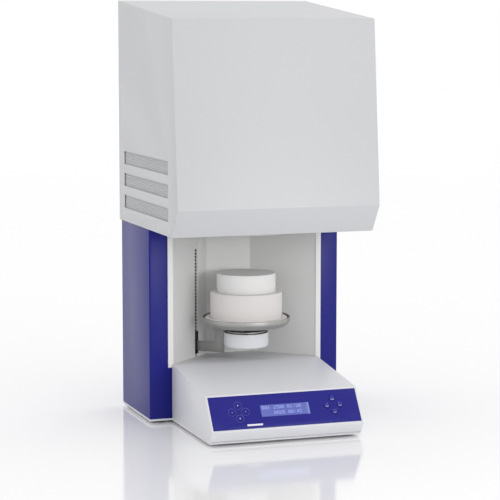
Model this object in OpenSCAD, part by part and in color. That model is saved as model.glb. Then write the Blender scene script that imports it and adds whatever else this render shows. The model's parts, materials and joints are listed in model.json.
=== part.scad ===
// Bottom-loading bench kiln: a fixed hood with a round firing chamber, and a hearth
// that a perforated steel band lifts up into it from an open bay between two columns.
// Millimetres. +Z up, front towards -Y, origin on the floor at the middle of the footprint.

/* [Stand] */
// Gap between the floor and the base tray
foot_h = 4; // [4:1:12]
// Height of the base tray's folded rim
tray_h = 4; // [4:1:10]
// Radius of a rubber foot
foot_r = 11; // [8:1:14]

/* [Columns] */
// Height of the columns
column_h = 356; // [340:4:430]
// Depth of the columns, front face to back face
column_d = 186; // [180:4:230]
// Width of a column's front face
column_face = 45; // [40:1:60]
// How far each column stands inside the hood's side
column_inset = 4; // [2:1:10]

/* [Hood] */
// Width of the hood
hood_w = 380; // [370:10:460]
// Height of the hood at its top front edge
hood_front_h = 383; // [340:4:460]
// Height of the hood at the back
hood_back_h = 417; // [380:4:500]
// Distance from the columns' front to the hood's foremost edge
hood_reach = 194.5; // [170:0.5:235]
// Height of the slanted lip under that edge
lip_h = 50; // [35:1:70]
// How far the lip runs back on its way down
lip_back = 33; // [15:1:45]
// How far the front leans back on its way up
front_lean = 30.5; // [10:0.5:45]

/* [Base] */
// Distance from the columns' front to the base's foremost edge
base_reach = 239.5; // [200:0.5:290]
// Height of the bay's floor above the ground
floor_z = 109; // [100:1:120]
// Height of the base's top at its front edge
base_front_z = 86; // [76:1:95]
// Height of the base's foremost edge
base_knee_z = 28; // [20:1:36]
// How far the control face leans back on its way up
panel_lean = 39.5; // [25:0.5:55]
// How far the lower front strip runs back on its way down
strip_back = 14.5; // [6:0.5:22]
// Depth of the bay behind the columns' front
bay_d = 97; // [80:1:110]

/* [Sheet metal] */
// Sheet of the hood
hood_t = 1.5; // [1:0.1:2.5]
// Sheet of the base, the columns and the bay
sheet_t = 1.2; // [1:0.1:2]
// Outside radius of the folded edges
bend_r = 3; // [2.6:0.2:6]
// Gap left between neighbouring sheets
sheet_gap = 0.3; // [0.2:0.1:0.6]

/* [Vents] */
// Height of a vent field in the hood's side
vent_h = 24.5; // [12:0.5:30]
// Length of a vent field
vent_l = 287; // [150:1:300]
// Distance from one vent field to the next
vent_pitch = 41.5; // [32:0.5:50]

/* [Hearth] */
// Radius of the hearth block
hearth_r = 55; // [45:1:60]
// Height of the hearth block
hearth_h = 35; // [20:1:45]
// Radius of the plug under the hearth
plug_r = 67; // [62:1:75]
// Height of the plug
plug_h = 62.5; // [45:0.5:75]
// Radius of the steel pan
pan_r = 82; // [77:1:90]
// Height of the steel pan
pan_h = 17; // [12:1:20]
// Height of the pan's underside above the bay's floor
pan_up = 68.5; // [66:0.5:80]
// Radius of the white cap under the pan
cap_r = 42; // [36:0.5:50]
// Height of that cap
cap_h = 28; // [20:1:34]

/* [Lift] */
// Height above the deck of the seat that stops the plug
seat_up = 32.1; // [26:0.1:40]
// How far it can run down from the loading height
lift_down = 5; // [3:1:8]
// Distance from one window of the band to the next
band_pitch = 6.35; // [6:0.05:6.6]
// Windows of the band round one drum
drum_teeth = 12; // [12:1:14]
// Width of the band
band_w = 12; // [10:0.5:14]
// Thickness of the band
band_t = 0.6; // [0.4:0.1:0.8]
// Width of the slot in the bay's wall
slot_w = 11; // [9:0.5:11.5]
// Radius of a guide rod
rod_r = 5; // [4:0.5:6]
// Thickness of the arm's upright plate
arm_t = 4; // [3:0.5:5]
// Height of the arm at the slot
arm_h = 18.5; // [14:0.5:24]

/* [Firing chamber] */
// Radius of the heated space
chamber_r = 72; // [70:1:80]
// Height of the heated space
chamber_h = 120; // [90:1:150]
// Thickness of the insulation round it
wall_r = 43; // [35:1:48]
// Thickness of the roof insulation
roof_h = 55; // [40:1:70]
// Clearance round the hearth and the plug in the throat
throat_gap = 3.5; // [2.5:0.5:5]
// Radius of a heating rod
rod_hot_r = 3; // [2.5:0.5:4]
// Radius of a heating rod's terminal
terminal_r = 6; // [5:0.5:7]

/* [Control panel] */
// Width of the display window
lcd_w = 92; // [70:1:100]
// Height of the display window
lcd_h = 22.5; // [18:0.5:26]
// Distance of the round keys' group to the left of the middle
menu_x = 87; // [80:1:100]
// Distance of the arrow keys' group to the right of the middle
arrows_x = 92.5; // [80:0.5:100]
// How far the arrow keys' group stands above the middle of the face
arrows_up = 2.4; // [-4:0.1:4]
// Distance of a key from its group's middle
key_ring = 12.5; // [11.5:0.5:13.5]
// Radius of a round key
key_r = 6; // [5:0.5:6.5]
// Travel of a key
key_travel = 0.5; // [0.3:0.1:0.6]

/* [Hidden] */
$fn = 64;
bend_steps = 5;
joint_gap = 0.05;      // radial clearance of a running fit
eps = 0.01;            // overrun of a cut past a face

// Colours
white_paint = "whitesmoke";
blue_paint = "darkslateblue";
bare_steel = "silver";
fibre_white = "ivory";

// Places along the depth
rear_proud = 9.5;
total_d = base_reach + column_d + rear_proud;
front_y = -total_d / 2;
column_y = front_y + base_reach;
back_y = column_y + column_d;
knee_y = column_y - hood_reach;
axis_ahead = 7.5;
axis_y = column_y - axis_ahead;
floor_edge_y = column_y - 13;

// Widths
column_x = hood_w / 2 - column_inset;
bay_x = column_x - column_face;
bay_back_x = bay_x - bay_d;
base_x = bay_x + 2;
flange_w = 10;
flange_t = 3;

// Heights
tray_z = foot_h;
column_z = tray_z + tray_h;
hood_z = column_z + column_h;

// The hearth's stack, and how far it rises to bring the plug up to its seat
pan_t = 1.6;
pan_z = floor_z + pan_up;
head_t = 3;
head_z = pan_z - 12;
plug_z = pan_z + pan_t;
hearth_z = plug_z + plug_h;
deck_t = 1.5;
deck_z = hood_z + deck_t;
lift_up = deck_z + seat_up - hearth_z;

// The lift stands square to the bay's left wall. Its own frame has x from the lift's
// axis towards the slot, y along the wall towards the front, and z up.
lift_turn = 135;
wall_x = (bay_x + column_y - axis_y) / sqrt(2);
wall_gap = 0.3;        // between the bay's wall and the band behind it
band_gap = 0.6;        // between the band and the carriage
slot_play = 0.5;       // between the clamp and the slot's edges
drum_play = 3;         // from the slot's top to the upper drum
band_x = wall_x + sheet_t + wall_gap + band_t / 2;
drum_r = drum_teeth * band_pitch / (2 * PI);
drum_x = band_x + drum_r;
back_run_x = band_x + 2 * drum_r;
rod_x = back_run_x + 9;
rod_y = 24;
plate_x = rod_x + 18;
drum_low_z = floor_z - 19;
shelf_z = drum_low_z - 24;
shelf_t = 3;
rail_top_z = hood_z - 10;
carriage_h = 36.5;
arm_z = floor_z + 12.5;
slot_low_z = floor_z + 1;
slot_high_z = arm_z + carriage_h + lift_up + slot_play;
windows_between = ceil((slot_high_z + drum_r + drum_play - drum_low_z) / band_pitch);
drum_high_z = drum_low_z + windows_between * band_pitch;
window_w = 9;
window_h = 3.4;
frame_y = 38;
frame_t = 2.5;
ear_y = 9;
shaft_r = 4;
axle_r = 3;

// The firing chamber
seat_gap = 0.6;
shoulder_z = deck_z + seat_up + seat_gap;
throat_top_z = shoulder_z + 26;
roof_z = throat_top_z + chamber_h;
lid_z = roof_z + roof_h + 1;
lid_t = 1.5;
shell_r = chamber_r + wall_r;
casing_gap = 0.3;
element_count = 4;
element_ring = chamber_r - 10;
element_bend_r = 12;
element_turn = 45;
element_top_z = lid_z + 44;

// The transformer
core_w = 84;
core_d = 62;
core_h = 92;
core_limb = 20;
core_x = bay_x - 25;
core_y = back_y - 60;
core_z = tray_z + hood_t;
window_gap = core_w / 2 - core_limb * 1.5;
block_top_z = core_z + core_h + 12;

// The control face
face_rise = base_front_z - base_knee_z;
face_len = norm([panel_lean, face_rise]);
face_angle = atan2(face_rise, panel_lean);
panel_margin = 3.2;
panel_x = base_x - panel_margin;
panel_h = face_len - 2 * panel_margin;
panel_t = 0.8;
board_z = -14;
board_t = 1.6;
key_gap = 0.3;

// ---- geometry helpers ----

function unit(v) = v / norm(v);
function left_of(v) = [-v[1], v[0]];
function meet(p, u, q, v) = p + u * (cross(q - p, v) / cross(u, v));

// A counter-clockwise outline moved inwards by t
function inset(outline, t) = let (n = len(outline)) [
    for (i = [0:n - 1])
        let (a = outline[(i + n - 1) % n], b = outline[i], c = outline[(i + 1) % n],
            u = unit(b - a), v = unit(c - b))
        meet(a + left_of(u) * t, u, b + left_of(v) * t, v)];

// One corner of an outline as an arc of radius r
function corner(a, b, c, r) =
    let (u = unit(a - b), v = unit(c - b), half = acos(u * v) / 2,
        centre = b + unit(u + v) * (r / sin(half)),
        from = b + u * (r / tan(half)) - centre,
        start = atan2(from[1], from[0]),
        turn = (cross(u, v) < 0 ? 1 : -1) * (180 - 2 * half))
    [for (k = [0:bend_steps])
        centre + r * [cos(start + turn * k / bend_steps), sin(start + turn * k / bend_steps)]];

// An outline with every corner rounded, or left sharp where its radius is 0
function rounded(outline, radii) = let (n = len(outline)) [
    for (i = [0:n - 1]) each radii[i] > 0
        ? corner(outline[(i + n - 1) % n], outline[i], outline[(i + 1) % n], radii[i])
        : [outline[i]]];

// Extrudes an outline drawn in y and z along x, from -half to half
module along_x(half) {
    rotate([90, 0, 90]) translate([0, 0, -half]) linear_extrude(2 * half) children();
}

module at_axis() { translate([0, axis_y, 0]) children(); }
module at_lift() { at_axis() rotate([0, 0, lift_turn]) children(); }
module at_panel() {
    translate([0, front_y + panel_lean / 2, base_knee_z + face_rise / 2])
        rotate([face_angle, 0, 0]) children();
}
module both_sides() {
    children();
    mirror([1, 0, 0]) children();
}
module tube(r_out, r_in, h) {
    difference() {
        cylinder(r = r_out, h = h);
        translate([0, 0, -eps]) cylinder(r = r_in, h = h + 2 * eps);
    }
}
module box(x0, x1, y0, y1, z0, z1) {
    translate([x0, y0, z0]) cube([x1 - x0, y1 - y0, z1 - z0]);
}

// ---- stand and base ----

base_back_y = column_y - sheet_gap;
module footprint(grow = 0) {
    polygon([[-column_x + grow, back_y - grow], [-column_x + grow, column_y + grow],
        [-base_x + grow, column_y + grow], [-base_x + grow, front_y + strip_back + grow],
        [base_x - grow, front_y + strip_back + grow], [base_x - grow, column_y + grow],
        [column_x - grow, column_y + grow], [column_x - grow, back_y - grow]]);
}

foot_bolt_r = 3;
foot_edge = 22;
foot_places = [for (x = [-1, 1]) each [[x * (column_x - foot_edge), back_y - foot_edge],
    [x * (column_x - foot_edge), column_y + foot_edge - 2],
    [x * (base_x - foot_edge), front_y + strip_back + foot_edge + 4]]];

module base_tray() {
    color(white_paint) difference() {
        translate([0, 0, tray_z]) linear_extrude(tray_h) footprint();
        translate([0, 0, tray_z + hood_t]) linear_extrude(tray_h) footprint(hood_t);
        for (p = foot_places) translate([p[0], p[1], tray_z - eps])
            cylinder(r = foot_bolt_r + 0.2, h = hood_t + 2 * eps);
    }
}

module feet() {
    color("dimgray") for (p = foot_places) translate([p[0], p[1], 0]) {
        cylinder(r1 = foot_r - 1, r2 = foot_r, h = foot_h);
        translate([0, 0, foot_h - eps]) cylinder(r = foot_bolt_r, h = hood_t + 2);
    }
}

base_outline = [[front_y + strip_back, tray_z], [base_back_y, tray_z],
    [base_back_y, floor_z], [floor_edge_y, floor_z],
    [front_y + panel_lean, base_front_z], [front_y, base_knee_z]];
base_radii = [0, 0, 0, bend_r * 4, bend_r, bend_r];
window_x = panel_x - 8;
window_y = panel_h / 2 - 5;

// The bay's floor, a tongue of the cover that reaches back between the splayed walls
module bay_floor(t) {
    front_x = bay_x - sheet_gap * sqrt(2);
    back = column_y + bay_d - sheet_gap;
    translate([0, 0, floor_z - t]) linear_extrude(t)
        polygon([[-front_x, column_y], [-(front_x - bay_d + sheet_gap), back],
            [front_x - bay_d + sheet_gap, back], [front_x, column_y],
            [front_x, floor_edge_y], [-front_x, floor_edge_y]]);
}

module base_cover() {
    color(white_paint) {
        difference() {
            along_x(base_x) polygon(rounded(base_outline, base_radii));
            along_x(base_x - sheet_t) polygon(rounded(inset(base_outline, sheet_t),
                [for (r = base_radii) max(r - sheet_t, 0)]));
            box(-base_x + sheet_t, base_x - sheet_t, front_y, base_back_y - 8, tray_z - 1,
                tray_z + tray_h + 1);
            box(-base_x - 1, base_x + 1, front_y - 1, back_y, tray_z - 1, column_z);
            box(-bay_x + 1, bay_x - 1, base_back_y - 9, back_y, tray_z - 1, floor_z - sheet_t);
            at_panel() box(-window_x, window_x, -window_y, window_y, -5, 5);
        }
        bay_floor(sheet_t);
    }
}

// ---- control panel ----

menu_places = [[-menu_x, key_ring], [-menu_x + key_ring, 0], [-menu_x, -key_ring],
    [-menu_x - key_ring, 0]];
arrow_places = [for (p = [[0, key_ring], [0, -key_ring], [-key_ring, 0], [key_ring, 0]])
    p + [arrows_x, arrows_up]];
arrow_half = 5.4;
key_flange = 1.2;

module key_outline(kind, grow = 0) {
    if (kind == "round") circle(r = key_r + grow);
    else rotate(45) square(2 * (arrow_half + grow), center = true);
}

module control_panel() {
    color(blue_paint) at_panel() difference() {
        box(-panel_x, panel_x, -panel_h / 2, panel_h / 2, 0, panel_t);
        box(-lcd_w / 2, lcd_w / 2, -lcd_h / 2, lcd_h / 2, -eps, panel_t + eps);
        for (p = menu_places) translate([p[0], p[1], -eps])
            linear_extrude(panel_t + 2 * eps) key_outline("round", key_gap);
        for (p = arrow_places) translate([p[0], p[1], -eps])
            linear_extrude(panel_t + 2 * eps) key_outline("arrow", key_gap);
    }
}

switch_h = 1;
// A key's face stands a little proud; its flange and stem work the switch on the board
module key(place, kind) {
    stem_r = 2;
    proud = 0.2;
    flange_z = -0.1;
    stem_end = board_z + board_t + switch_h + key_travel;
    color(blue_paint) at_panel() translate([place[0], place[1], 0]) {
        translate([0, 0, flange_z]) linear_extrude(panel_t + proud - flange_z) key_outline(kind);
        translate([0, 0, flange_z - key_flange]) linear_extrude(key_flange) key_outline(kind, 1);
        translate([0, 0, stem_end])
            cylinder(r = stem_r, h = flange_z - key_flange - stem_end + eps);
    }
}
module menu_key() { key(menu_places[0], "round"); }
module start_key() { key(menu_places[1], "round"); }
module stop_key() { key(menu_places[2], "round"); }
module light_key() { key(menu_places[3], "round"); }
module up_key() { key(arrow_places[0], "arrow"); }
module down_key() { key(arrow_places[1], "arrow"); }
module left_key() { key(arrow_places[2], "arrow"); }
module right_key() { key(arrow_places[3], "arrow"); }

lcd_play = 0.15;
module lcd_display() {
    color("slateblue") at_panel() {
        box(-lcd_w / 2 + lcd_play, lcd_w / 2 - lcd_play, -lcd_h / 2 + lcd_play,
            lcd_h / 2 - lcd_play, -2, panel_t - 0.2);
        box(-lcd_w / 2 - 4, lcd_w / 2 + 4, -lcd_h / 2 - 3, lcd_h / 2 + 3, board_z + board_t, -2);
    }
}

module control_board() {
    half_x = max(menu_x, arrows_x) + key_ring + 6.5;
    half_y = window_y - 1;
    switch_r = 3;
    color("darkgreen") at_panel() {
        box(-half_x, half_x, -half_y, half_y, board_z, board_z + board_t);
        for (p = concat(menu_places, arrow_places)) translate([p[0], p[1], board_z])
            cylinder(r = switch_r, h = board_t + switch_h);
        // underneath: processor, relay driver, four capacitors and the cable's header
        box(-38, -14, -9, 15, board_z - 3.5, board_z);
        box(10, 34, -7, 7, board_z - 5, board_z);
        for (x = [48:9:75]) translate([x, 4, board_z - 11]) cylinder(r = 3.5, h = 11);
        box(-half_x + 4, -half_x + 34, -14, -4, board_z - 12, board_z);
    }
}

// ---- columns, bay and frame ----

column_return = 12;
module column_shell() {
    inner = bay_x + 2;
    back = back_y - sheet_t - sheet_gap;
    t = sheet_t;
    color(blue_paint) translate([0, 0, column_z]) linear_extrude(hood_z - sheet_gap - column_z)
        polygon(rounded([[inner, column_y], [column_x, column_y], [column_x, back],
            [column_x - t, back], [column_x - t, column_y + t], [inner + t, column_y + t],
            [inner + t, column_y + column_return], [inner, column_y + column_return]],
            [0, bend_r, 0, 0, bend_r - t, 0, 0, 0]));
}
module right_column() { column_shell(); }
module left_column() { mirror([1, 0, 0]) column_shell(); }

// The bay's lining, in plan: a flange on each column, a splayed wall, and the back wall
liner_low_z = floor_z - 5;
module liner_plan() {
    side = sheet_t * sqrt(2);
    back = sheet_t * tan(22.5);
    polygon(concat(
        [[-bay_x - flange_w, column_y - flange_t], [-bay_x, column_y - flange_t],
            [-bay_x, column_y], [-bay_back_x, column_y + bay_d],
            [bay_back_x, column_y + bay_d], [bay_x, column_y],
            [bay_x, column_y - flange_t], [bay_x + flange_w, column_y - flange_t]],
        [[bay_x + flange_w, column_y - 0.2], [bay_x + side, column_y - 0.2],
            [bay_x + side, column_y],
            [bay_back_x + back, column_y + bay_d + sheet_t],
            [-bay_back_x - back, column_y + bay_d + sheet_t], [-bay_x - side, column_y],
            [-bay_x - side, column_y - 0.2], [-bay_x - flange_w, column_y - 0.2]]));
}

module bay_liner() {
    color(white_paint) difference() {
        translate([0, 0, liner_low_z]) linear_extrude(hood_z - sheet_gap - liner_low_z)
            liner_plan();
        // the base's top passes under the flanges
        box(-base_x - sheet_gap, base_x + sheet_gap, column_y - 30, column_y - 0.1,
            liner_low_z - 1, floor_z + sheet_gap);
        at_lift() box(wall_x - 5, wall_x + 5, -slot_w / 2, slot_w / 2, slot_low_z, slot_high_z);
    }
}

post_w = 12;
post_t = 1.5;
module frame_posts() {
    x = column_x - sheet_t - post_w - 2 * sheet_gap;
    post_h = hood_z - tray_z - hood_t;
    core = post_w - 2 * post_t;
    color(bare_steel) both_sides()
        for (y = [column_y + sheet_t + 2 * sheet_gap, back_y - sheet_t - post_w - 2 * sheet_gap])
            translate([x, y, tray_z + hood_t]) difference() {
                cube([post_w, post_w, post_h]);
                translate([post_t, post_t, -eps]) cube([core, core, post_h + 2 * eps]);
            }
}

// A row of upright air slots through a sheet at the back
air_slot = 4;
module air_slots(places, low, high) {
    for (x = places) box(x - air_slot / 2, x + air_slot / 2, back_y - 5, back_y + 5, low, high);
}

inlet_x = 140;
inlet_z = column_z + 48;
inlet_w = 27;
inlet_h = 62;
module column_back() {
    color(blue_paint) difference() {
        box(-column_x, column_x, back_y - sheet_t, back_y, column_z, hood_z - sheet_gap);
        box(inlet_x - inlet_w / 2, inlet_x + inlet_w / 2, back_y - 5, back_y + 5,
            inlet_z - inlet_h / 2, inlet_z + inlet_h / 2);
        air_slots([-60:12:60], column_z + 30, column_z + 75);
        air_slots([12:12:132], hood_z - 90, hood_z - 45);
    }
}

// ---- hood ----

hood_outline = [[knee_y + lip_back, hood_z], [back_y, hood_z], [back_y, hood_z + hood_back_h],
    [knee_y + front_lean, hood_z + hood_front_h], [knee_y, hood_z + lip_h]];
hood_radii = [0, 0, 0, bend_r, bend_r];
hood_x = hood_w / 2;
vent_front_y = column_y - 136;
vent_low_z = hood_z + 26;
vent_places = [for (i = [0:2]) vent_low_z + i * vent_pitch];
vent_t = 1;

module hood_shell() {
    color(white_paint) difference() {
        along_x(hood_x) polygon(rounded(hood_outline, hood_radii));
        along_x(hood_x - hood_t) polygon(rounded(inset(hood_outline, hood_t),
            [for (r = hood_radii) max(r - hood_t, 0)]));
        // open underneath and at the back, where the deck and the back close it
        box(-hood_x + hood_t, hood_x - hood_t, back_y - 3, back_y + 1, hood_z - 1,
            hood_z + hood_back_h - hood_t * 2);
        box(-hood_x + hood_t, hood_x - hood_t, knee_y + lip_back + hood_t * 1.6, back_y + 1,
            hood_z - 1, hood_z + 3);
        for (z = vent_places) box(-hood_x - 1, hood_x + 1, vent_front_y, vent_front_y + vent_l,
            z, z + vent_h);
    }
}

module vent_screens() {
    lap = 6;
    color("lightgray") both_sides() for (z = vent_places)
        box(hood_x - hood_t - vent_t, hood_x - hood_t, vent_front_y - lap,
            vent_front_y + vent_l + lap, z - lap, z + vent_h + lap);
}

deck_x = hood_x - hood_t - sheet_gap;
collar_r = plug_r + throat_gap;
cable_r = 15;
module hood_deck() {
    color(bare_steel) difference() {
        box(-deck_x, deck_x, knee_y + lip_back + hood_t * 1.6 + sheet_gap,
            back_y - hood_t - sheet_gap, hood_z, deck_z);
        at_axis() translate([0, 0, hood_z - 1]) cylinder(r = collar_r, h = 4);
        translate([lead_x, core_y, hood_z - 1]) cylinder(r = cable_r, h = 4);
    }
}

fan_x = -95;
fan_z = hood_z + hood_back_h - 87;
fan_w = 80;
fan_bore_r = 38;
fan_d = 25;
fan_bolt = 35.75;
hood_back_top = hood_z + hood_back_h - hood_t * 2 - sheet_gap;
module hood_back() {
    color(white_paint) difference() {
        box(-deck_x, deck_x, back_y - hood_t, back_y, deck_z + sheet_gap, hood_back_top);
        translate([fan_x, back_y + 1, fan_z]) rotate([90, 0, 0]) cylinder(r = fan_bore_r, h = 4);
        for (z = [fan_z - 45, fan_z]) air_slots([40:12:160], z, z + 34);
        air_slots([-160:12:160], hood_z + 30, hood_z + 64);
    }
}

spacer_r = 8;
spacer_edge = 24;
module wall_spacers() {
    color("dimgray") for (x = [-1, 1], z = [deck_z + 110, hood_z + hood_back_h - 30])
        translate([x * (hood_x - spacer_edge), back_y, z]) rotate([-90, 0, 0])
            cylinder(r1 = spacer_r, r2 = spacer_r - 1.5, h = rear_proud);
}

screw_r = 3.2;
screw_head = 1.8;
screw_places = concat(
    [for (x = [-1, 1], z = [deck_z + 16, deck_z + 200, hood_back_top - 16])
        [x * (deck_x - 10), z]],
    [for (x = [-1, 0, 1], z = [column_z + 12, hood_z - 14]) [x * (column_x - 10), z]]);
module cover_screws() {
    color(bare_steel) for (p = screw_places) translate([p[0], back_y, p[1]])
        rotate([-90, 0, 0]) difference() {
            cylinder(r1 = screw_r, r2 = screw_r - 0.7, h = screw_head);
            translate([0, 0, screw_head - 0.9]) cylinder(r = 1.3, h = 2, $fn = 6);
        }
}

// ---- firing chamber ----

collar_drop = 10;
collar_t = 2;
module throat_collar() {
    color(bare_steel) at_axis() translate([0, 0, hood_z - collar_drop]) {
        tube(collar_r + collar_t, collar_r, collar_drop);
        tube(pan_r + 1, collar_r, sheet_t + sheet_gap);
    }
}

module throat_ring() {
    color(fibre_white) at_axis() translate([0, 0, deck_z]) difference() {
        cylinder(r = shell_r, h = throat_top_z - deck_z);
        translate([0, 0, -eps]) cylinder(r = collar_r, h = shoulder_z - deck_z + eps);
        cylinder(r = hearth_r + throat_gap, h = throat_top_z - deck_z + 1);
    }
}

module chamber_ring() {
    color(fibre_white) at_axis() translate([0, 0, throat_top_z]) tube(shell_r, chamber_r, chamber_h);
}

// Places of the heating rods' legs round the axis
leg_places = [for (i = [0:element_count - 1]) let (a = element_turn + i * 360 / element_count)
    each [for (s = [-1, 1])
        [element_ring * cos(a) - s * element_bend_r * sin(a),
            element_ring * sin(a) + s * element_bend_r * cos(a)]]];
probe_r = 4;
hot_gap = 0.4;         // round a terminal or the probe where it passes the insulation

module roof_holes(leg_gap, z, h) {
    for (p = leg_places) translate([p[0], p[1], z]) cylinder(r = terminal_r + leg_gap, h = h);
    translate([0, 0, z]) cylinder(r = probe_r + hot_gap, h = h);
}

module chamber_roof() {
    color(fibre_white) at_axis() difference() {
        translate([0, 0, roof_z]) cylinder(r = shell_r, h = roof_h);
        roof_holes(hot_gap, roof_z - 1, roof_h + 2);
    }
}

casing_flange = 12;
module chamber_casing() {
    r = shell_r + casing_gap;
    color(bare_steel) at_axis() translate([0, 0, deck_z]) {
        tube(r + sheet_t, r, lid_z - deck_z);
        tube(r + casing_flange, r, sheet_t);
    }
}

module casing_lid() {
    overhang = 2;
    color(bare_steel) at_axis() difference() {
        translate([0, 0, lid_z]) cylinder(r = shell_r + casing_gap + sheet_t + overhang, h = lid_t);
        roof_holes(4 * hot_gap, lid_z - 1, lid_t + 2);
    }
}

module heating_element() {
    bottom = throat_top_z + 12 + element_bend_r;
    neck = roof_z + 6;
    translate([0, 0, bottom]) rotate([90, 0, 90]) rotate_extrude(angle = -180)
        translate([element_bend_r, 0]) circle(r = rod_hot_r);
    for (s = [-1, 1]) translate([0, s * element_bend_r, 0]) {
        translate([0, 0, bottom]) cylinder(r = rod_hot_r, h = neck - bottom + eps);
        translate([0, 0, neck]) cylinder(r = terminal_r, h = element_top_z - neck);
    }
}
module heating_elements() {
    color("dimgray") at_axis() for (i = [0:element_count - 1])
        rotate([0, 0, element_turn + i * 360 / element_count])
            translate([element_ring, 0, 0]) heating_element();
}

clamp_w = 19;
clamp_h = 14;
module element_clamps() {
    color("beige") at_axis() for (i = [0:element_count - 1])
        rotate([0, 0, element_turn + i * 360 / element_count])
            for (s = [-1, 1]) translate([element_ring, s * element_bend_r, lid_z + lid_t])
                difference() {
                    translate([-clamp_w / 2, -clamp_w / 2, 0]) cube([clamp_w, clamp_w, clamp_h]);
                    translate([0, 0, -1]) cylinder(r = terminal_r + 0.1, h = clamp_h + 2);
                }
}

strap_t = 3;
strap_w = 12;
strap_z = element_top_z - 14;
collar_h = 8;
lead_r = 3;
sleeve_r = 5;
lead_x = core_x + 26;
lead_gap = 7;
module terminal_collar() {
    tube(terminal_r + 3, terminal_r, collar_h);
}
module strap(from, to) {
    run = to - from;
    translate([from[0], from[1], strap_z]) rotate([0, 0, atan2(run[1], run[0])]) {
        difference() {
            translate([0, -strap_w / 2, 0]) cube([norm(run), strap_w, strap_t]);
            for (x = [0, norm(run)]) translate([x, 0, -1]) cylinder(r = terminal_r + 1, h = strap_t + 2);
        }
        for (x = [0, norm(run)]) translate([x, 0, 0]) terminal_collar();
    }
}
// A supply lead: from its terminal out to the side, then down through the deck
module supply_lead(from, to) {
    run = to - from;
    z = strap_z + collar_h / 2;
    translate([from[0], from[1], strap_z]) terminal_collar();
    translate([from[0], from[1], z]) rotate([0, 0, atan2(run[1], run[0])]) rotate([0, 90, 0])
        translate([0, 0, terminal_r + 1]) cylinder(r = lead_r, h = norm(run) - terminal_r - 1);
    translate([to[0], to[1], z - sleeve_r]) cylinder(r = sleeve_r, h = 2 * sleeve_r);
    translate([to[0], to[1], block_top_z]) cylinder(r = lead_r + 1, h = z - block_top_z);
}
module element_straps() {
    color("silver") at_axis() {
        for (i = [0:element_count - 2]) strap(leg_places[2 * i + 1], leg_places[2 * i + 2]);
        supply_lead(leg_places[0], [lead_x, core_y - axis_y - lead_gap]);
        supply_lead(leg_places[2 * element_count - 1], [lead_x, core_y - axis_y + lead_gap]);
    }
}

// The probe hangs into the chamber from a socket on the lid, under its terminal head
module thermocouple() {
    probe_in = 22;
    body_z = lid_z + 40;
    body_h = 18;
    color("beige") at_axis() {
        translate([0, 0, roof_z - probe_in]) cylinder(r = probe_r, h = body_z - roof_z + probe_in);
        translate([0, 0, body_z]) cylinder(r = 15, h = body_h);
        translate([0, 0, body_z + body_h]) cylinder(r = 12, h = 4);
        translate([0, 0, lid_z + lid_t]) tube(probe_r + 5, probe_r + hot_gap / 2, 8);
    }
}

// ---- power supply ----

yoke_h = 14;
coil_gap = 0.5;
limb_gap = 0.2;
module transformer_core() {
    color("dimgray") translate([core_x, core_y, core_z]) difference() {
        translate([-core_w / 2, -core_d / 4, 0]) cube([core_w, core_d / 2, core_h]);
        for (s = [-1, 1]) translate([s * (core_limb / 2 + window_gap / 2) - window_gap / 2,
            -core_d, yoke_h]) cube([window_gap, 2 * core_d, core_h - 2 * yoke_h]);
    }
}
// The windings round the middle limb, and the terminal block on top
module transformer_coils() {
    coil_h = core_h - 2 * yoke_h - 2 * coil_gap;
    color("peru") {
        translate([core_x, core_y, core_z + yoke_h + coil_gap]) difference() {
            translate([-core_limb / 2 - window_gap + coil_gap, -core_d / 2, 0])
                cube([core_limb + 2 * (window_gap - coil_gap), core_d, coil_h]);
            translate([-core_limb / 2 - limb_gap, -core_d / 4 - limb_gap, -1])
                cube([core_limb + 2 * limb_gap, core_d / 2 + 2 * limb_gap, core_h]);
        }
        box(lead_x - 10, lead_x + 10, core_y - core_d / 4, core_y + core_d / 4,
            core_z + core_h, block_top_z);
    }
}

// The finned heat sink, with the switching module on its face
sink_x = -30;
sink_w = 70;
sink_h = 90;
sink_t = 6;
fin_pitch = 7;
fin_t = 2;
fin_reach = 24;
module power_module() {
    z = tray_z + hood_t;
    y = back_y - 74;
    color("silver") {
        box(sink_x, sink_x + sink_w, y, y + sink_t, z, z + sink_h);
        for (x = [sink_x:fin_pitch:sink_x + sink_w - fin_t])
            box(x, x + fin_t, y + sink_t - eps, y + sink_t + fin_reach, z, z + sink_h);
    }
    color("black") box(sink_x + 14, sink_x + sink_w - 14, y - 22, y, z + 20, z + sink_h - 20);
}

fan_y = back_y - hood_t - fan_d;
fan_hub_r = 16;
fan_blades = 7;
spindle_r = 2;
spindle_h = 16;
module at_fan() { translate([fan_x, fan_y, fan_z]) rotate([-90, 0, 0]) children(); }
module fan_frame() {
    color("black") at_fan() {
        difference() {
            translate([-fan_w / 2, -fan_w / 2, 0]) cube([fan_w, fan_w, fan_d]);
            translate([0, 0, -1]) cylinder(r = fan_bore_r, h = fan_d + 2);
            for (x = [-1, 1], y = [-1, 1]) translate([x * fan_bolt, y * fan_bolt, -1])
                cylinder(r = 2.2, h = fan_d + 2);
        }
        cylinder(r = fan_hub_r, h = 4);
        cylinder(r = spindle_r, h = spindle_h);
        for (a = [45:90:315]) rotate([0, 0, a]) translate([fan_hub_r - 1, -2, 0])
            cube([fan_bore_r - fan_hub_r + 2, 4, 3]);
    }
}
module fan_rotor() {
    color("black") at_fan() {
        difference() {
            translate([0, 0, 4.5]) cylinder(r = fan_hub_r, h = fan_d - 6);
            cylinder(r = spindle_r + joint_gap, h = spindle_h + 0.5);
        }
        for (i = [0:fan_blades - 1]) rotate([0, 0, i * 360 / fan_blades])
            translate([fan_hub_r - 1, 0, fan_d / 2 + 1.5]) rotate([48, 0, 0])
                translate([0, -11, -0.8]) cube([fan_bore_r - fan_hub_r - 0.8, 22, 1.6]);
    }
}
guard_wire = 2;
guard_proud = 5;
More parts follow.
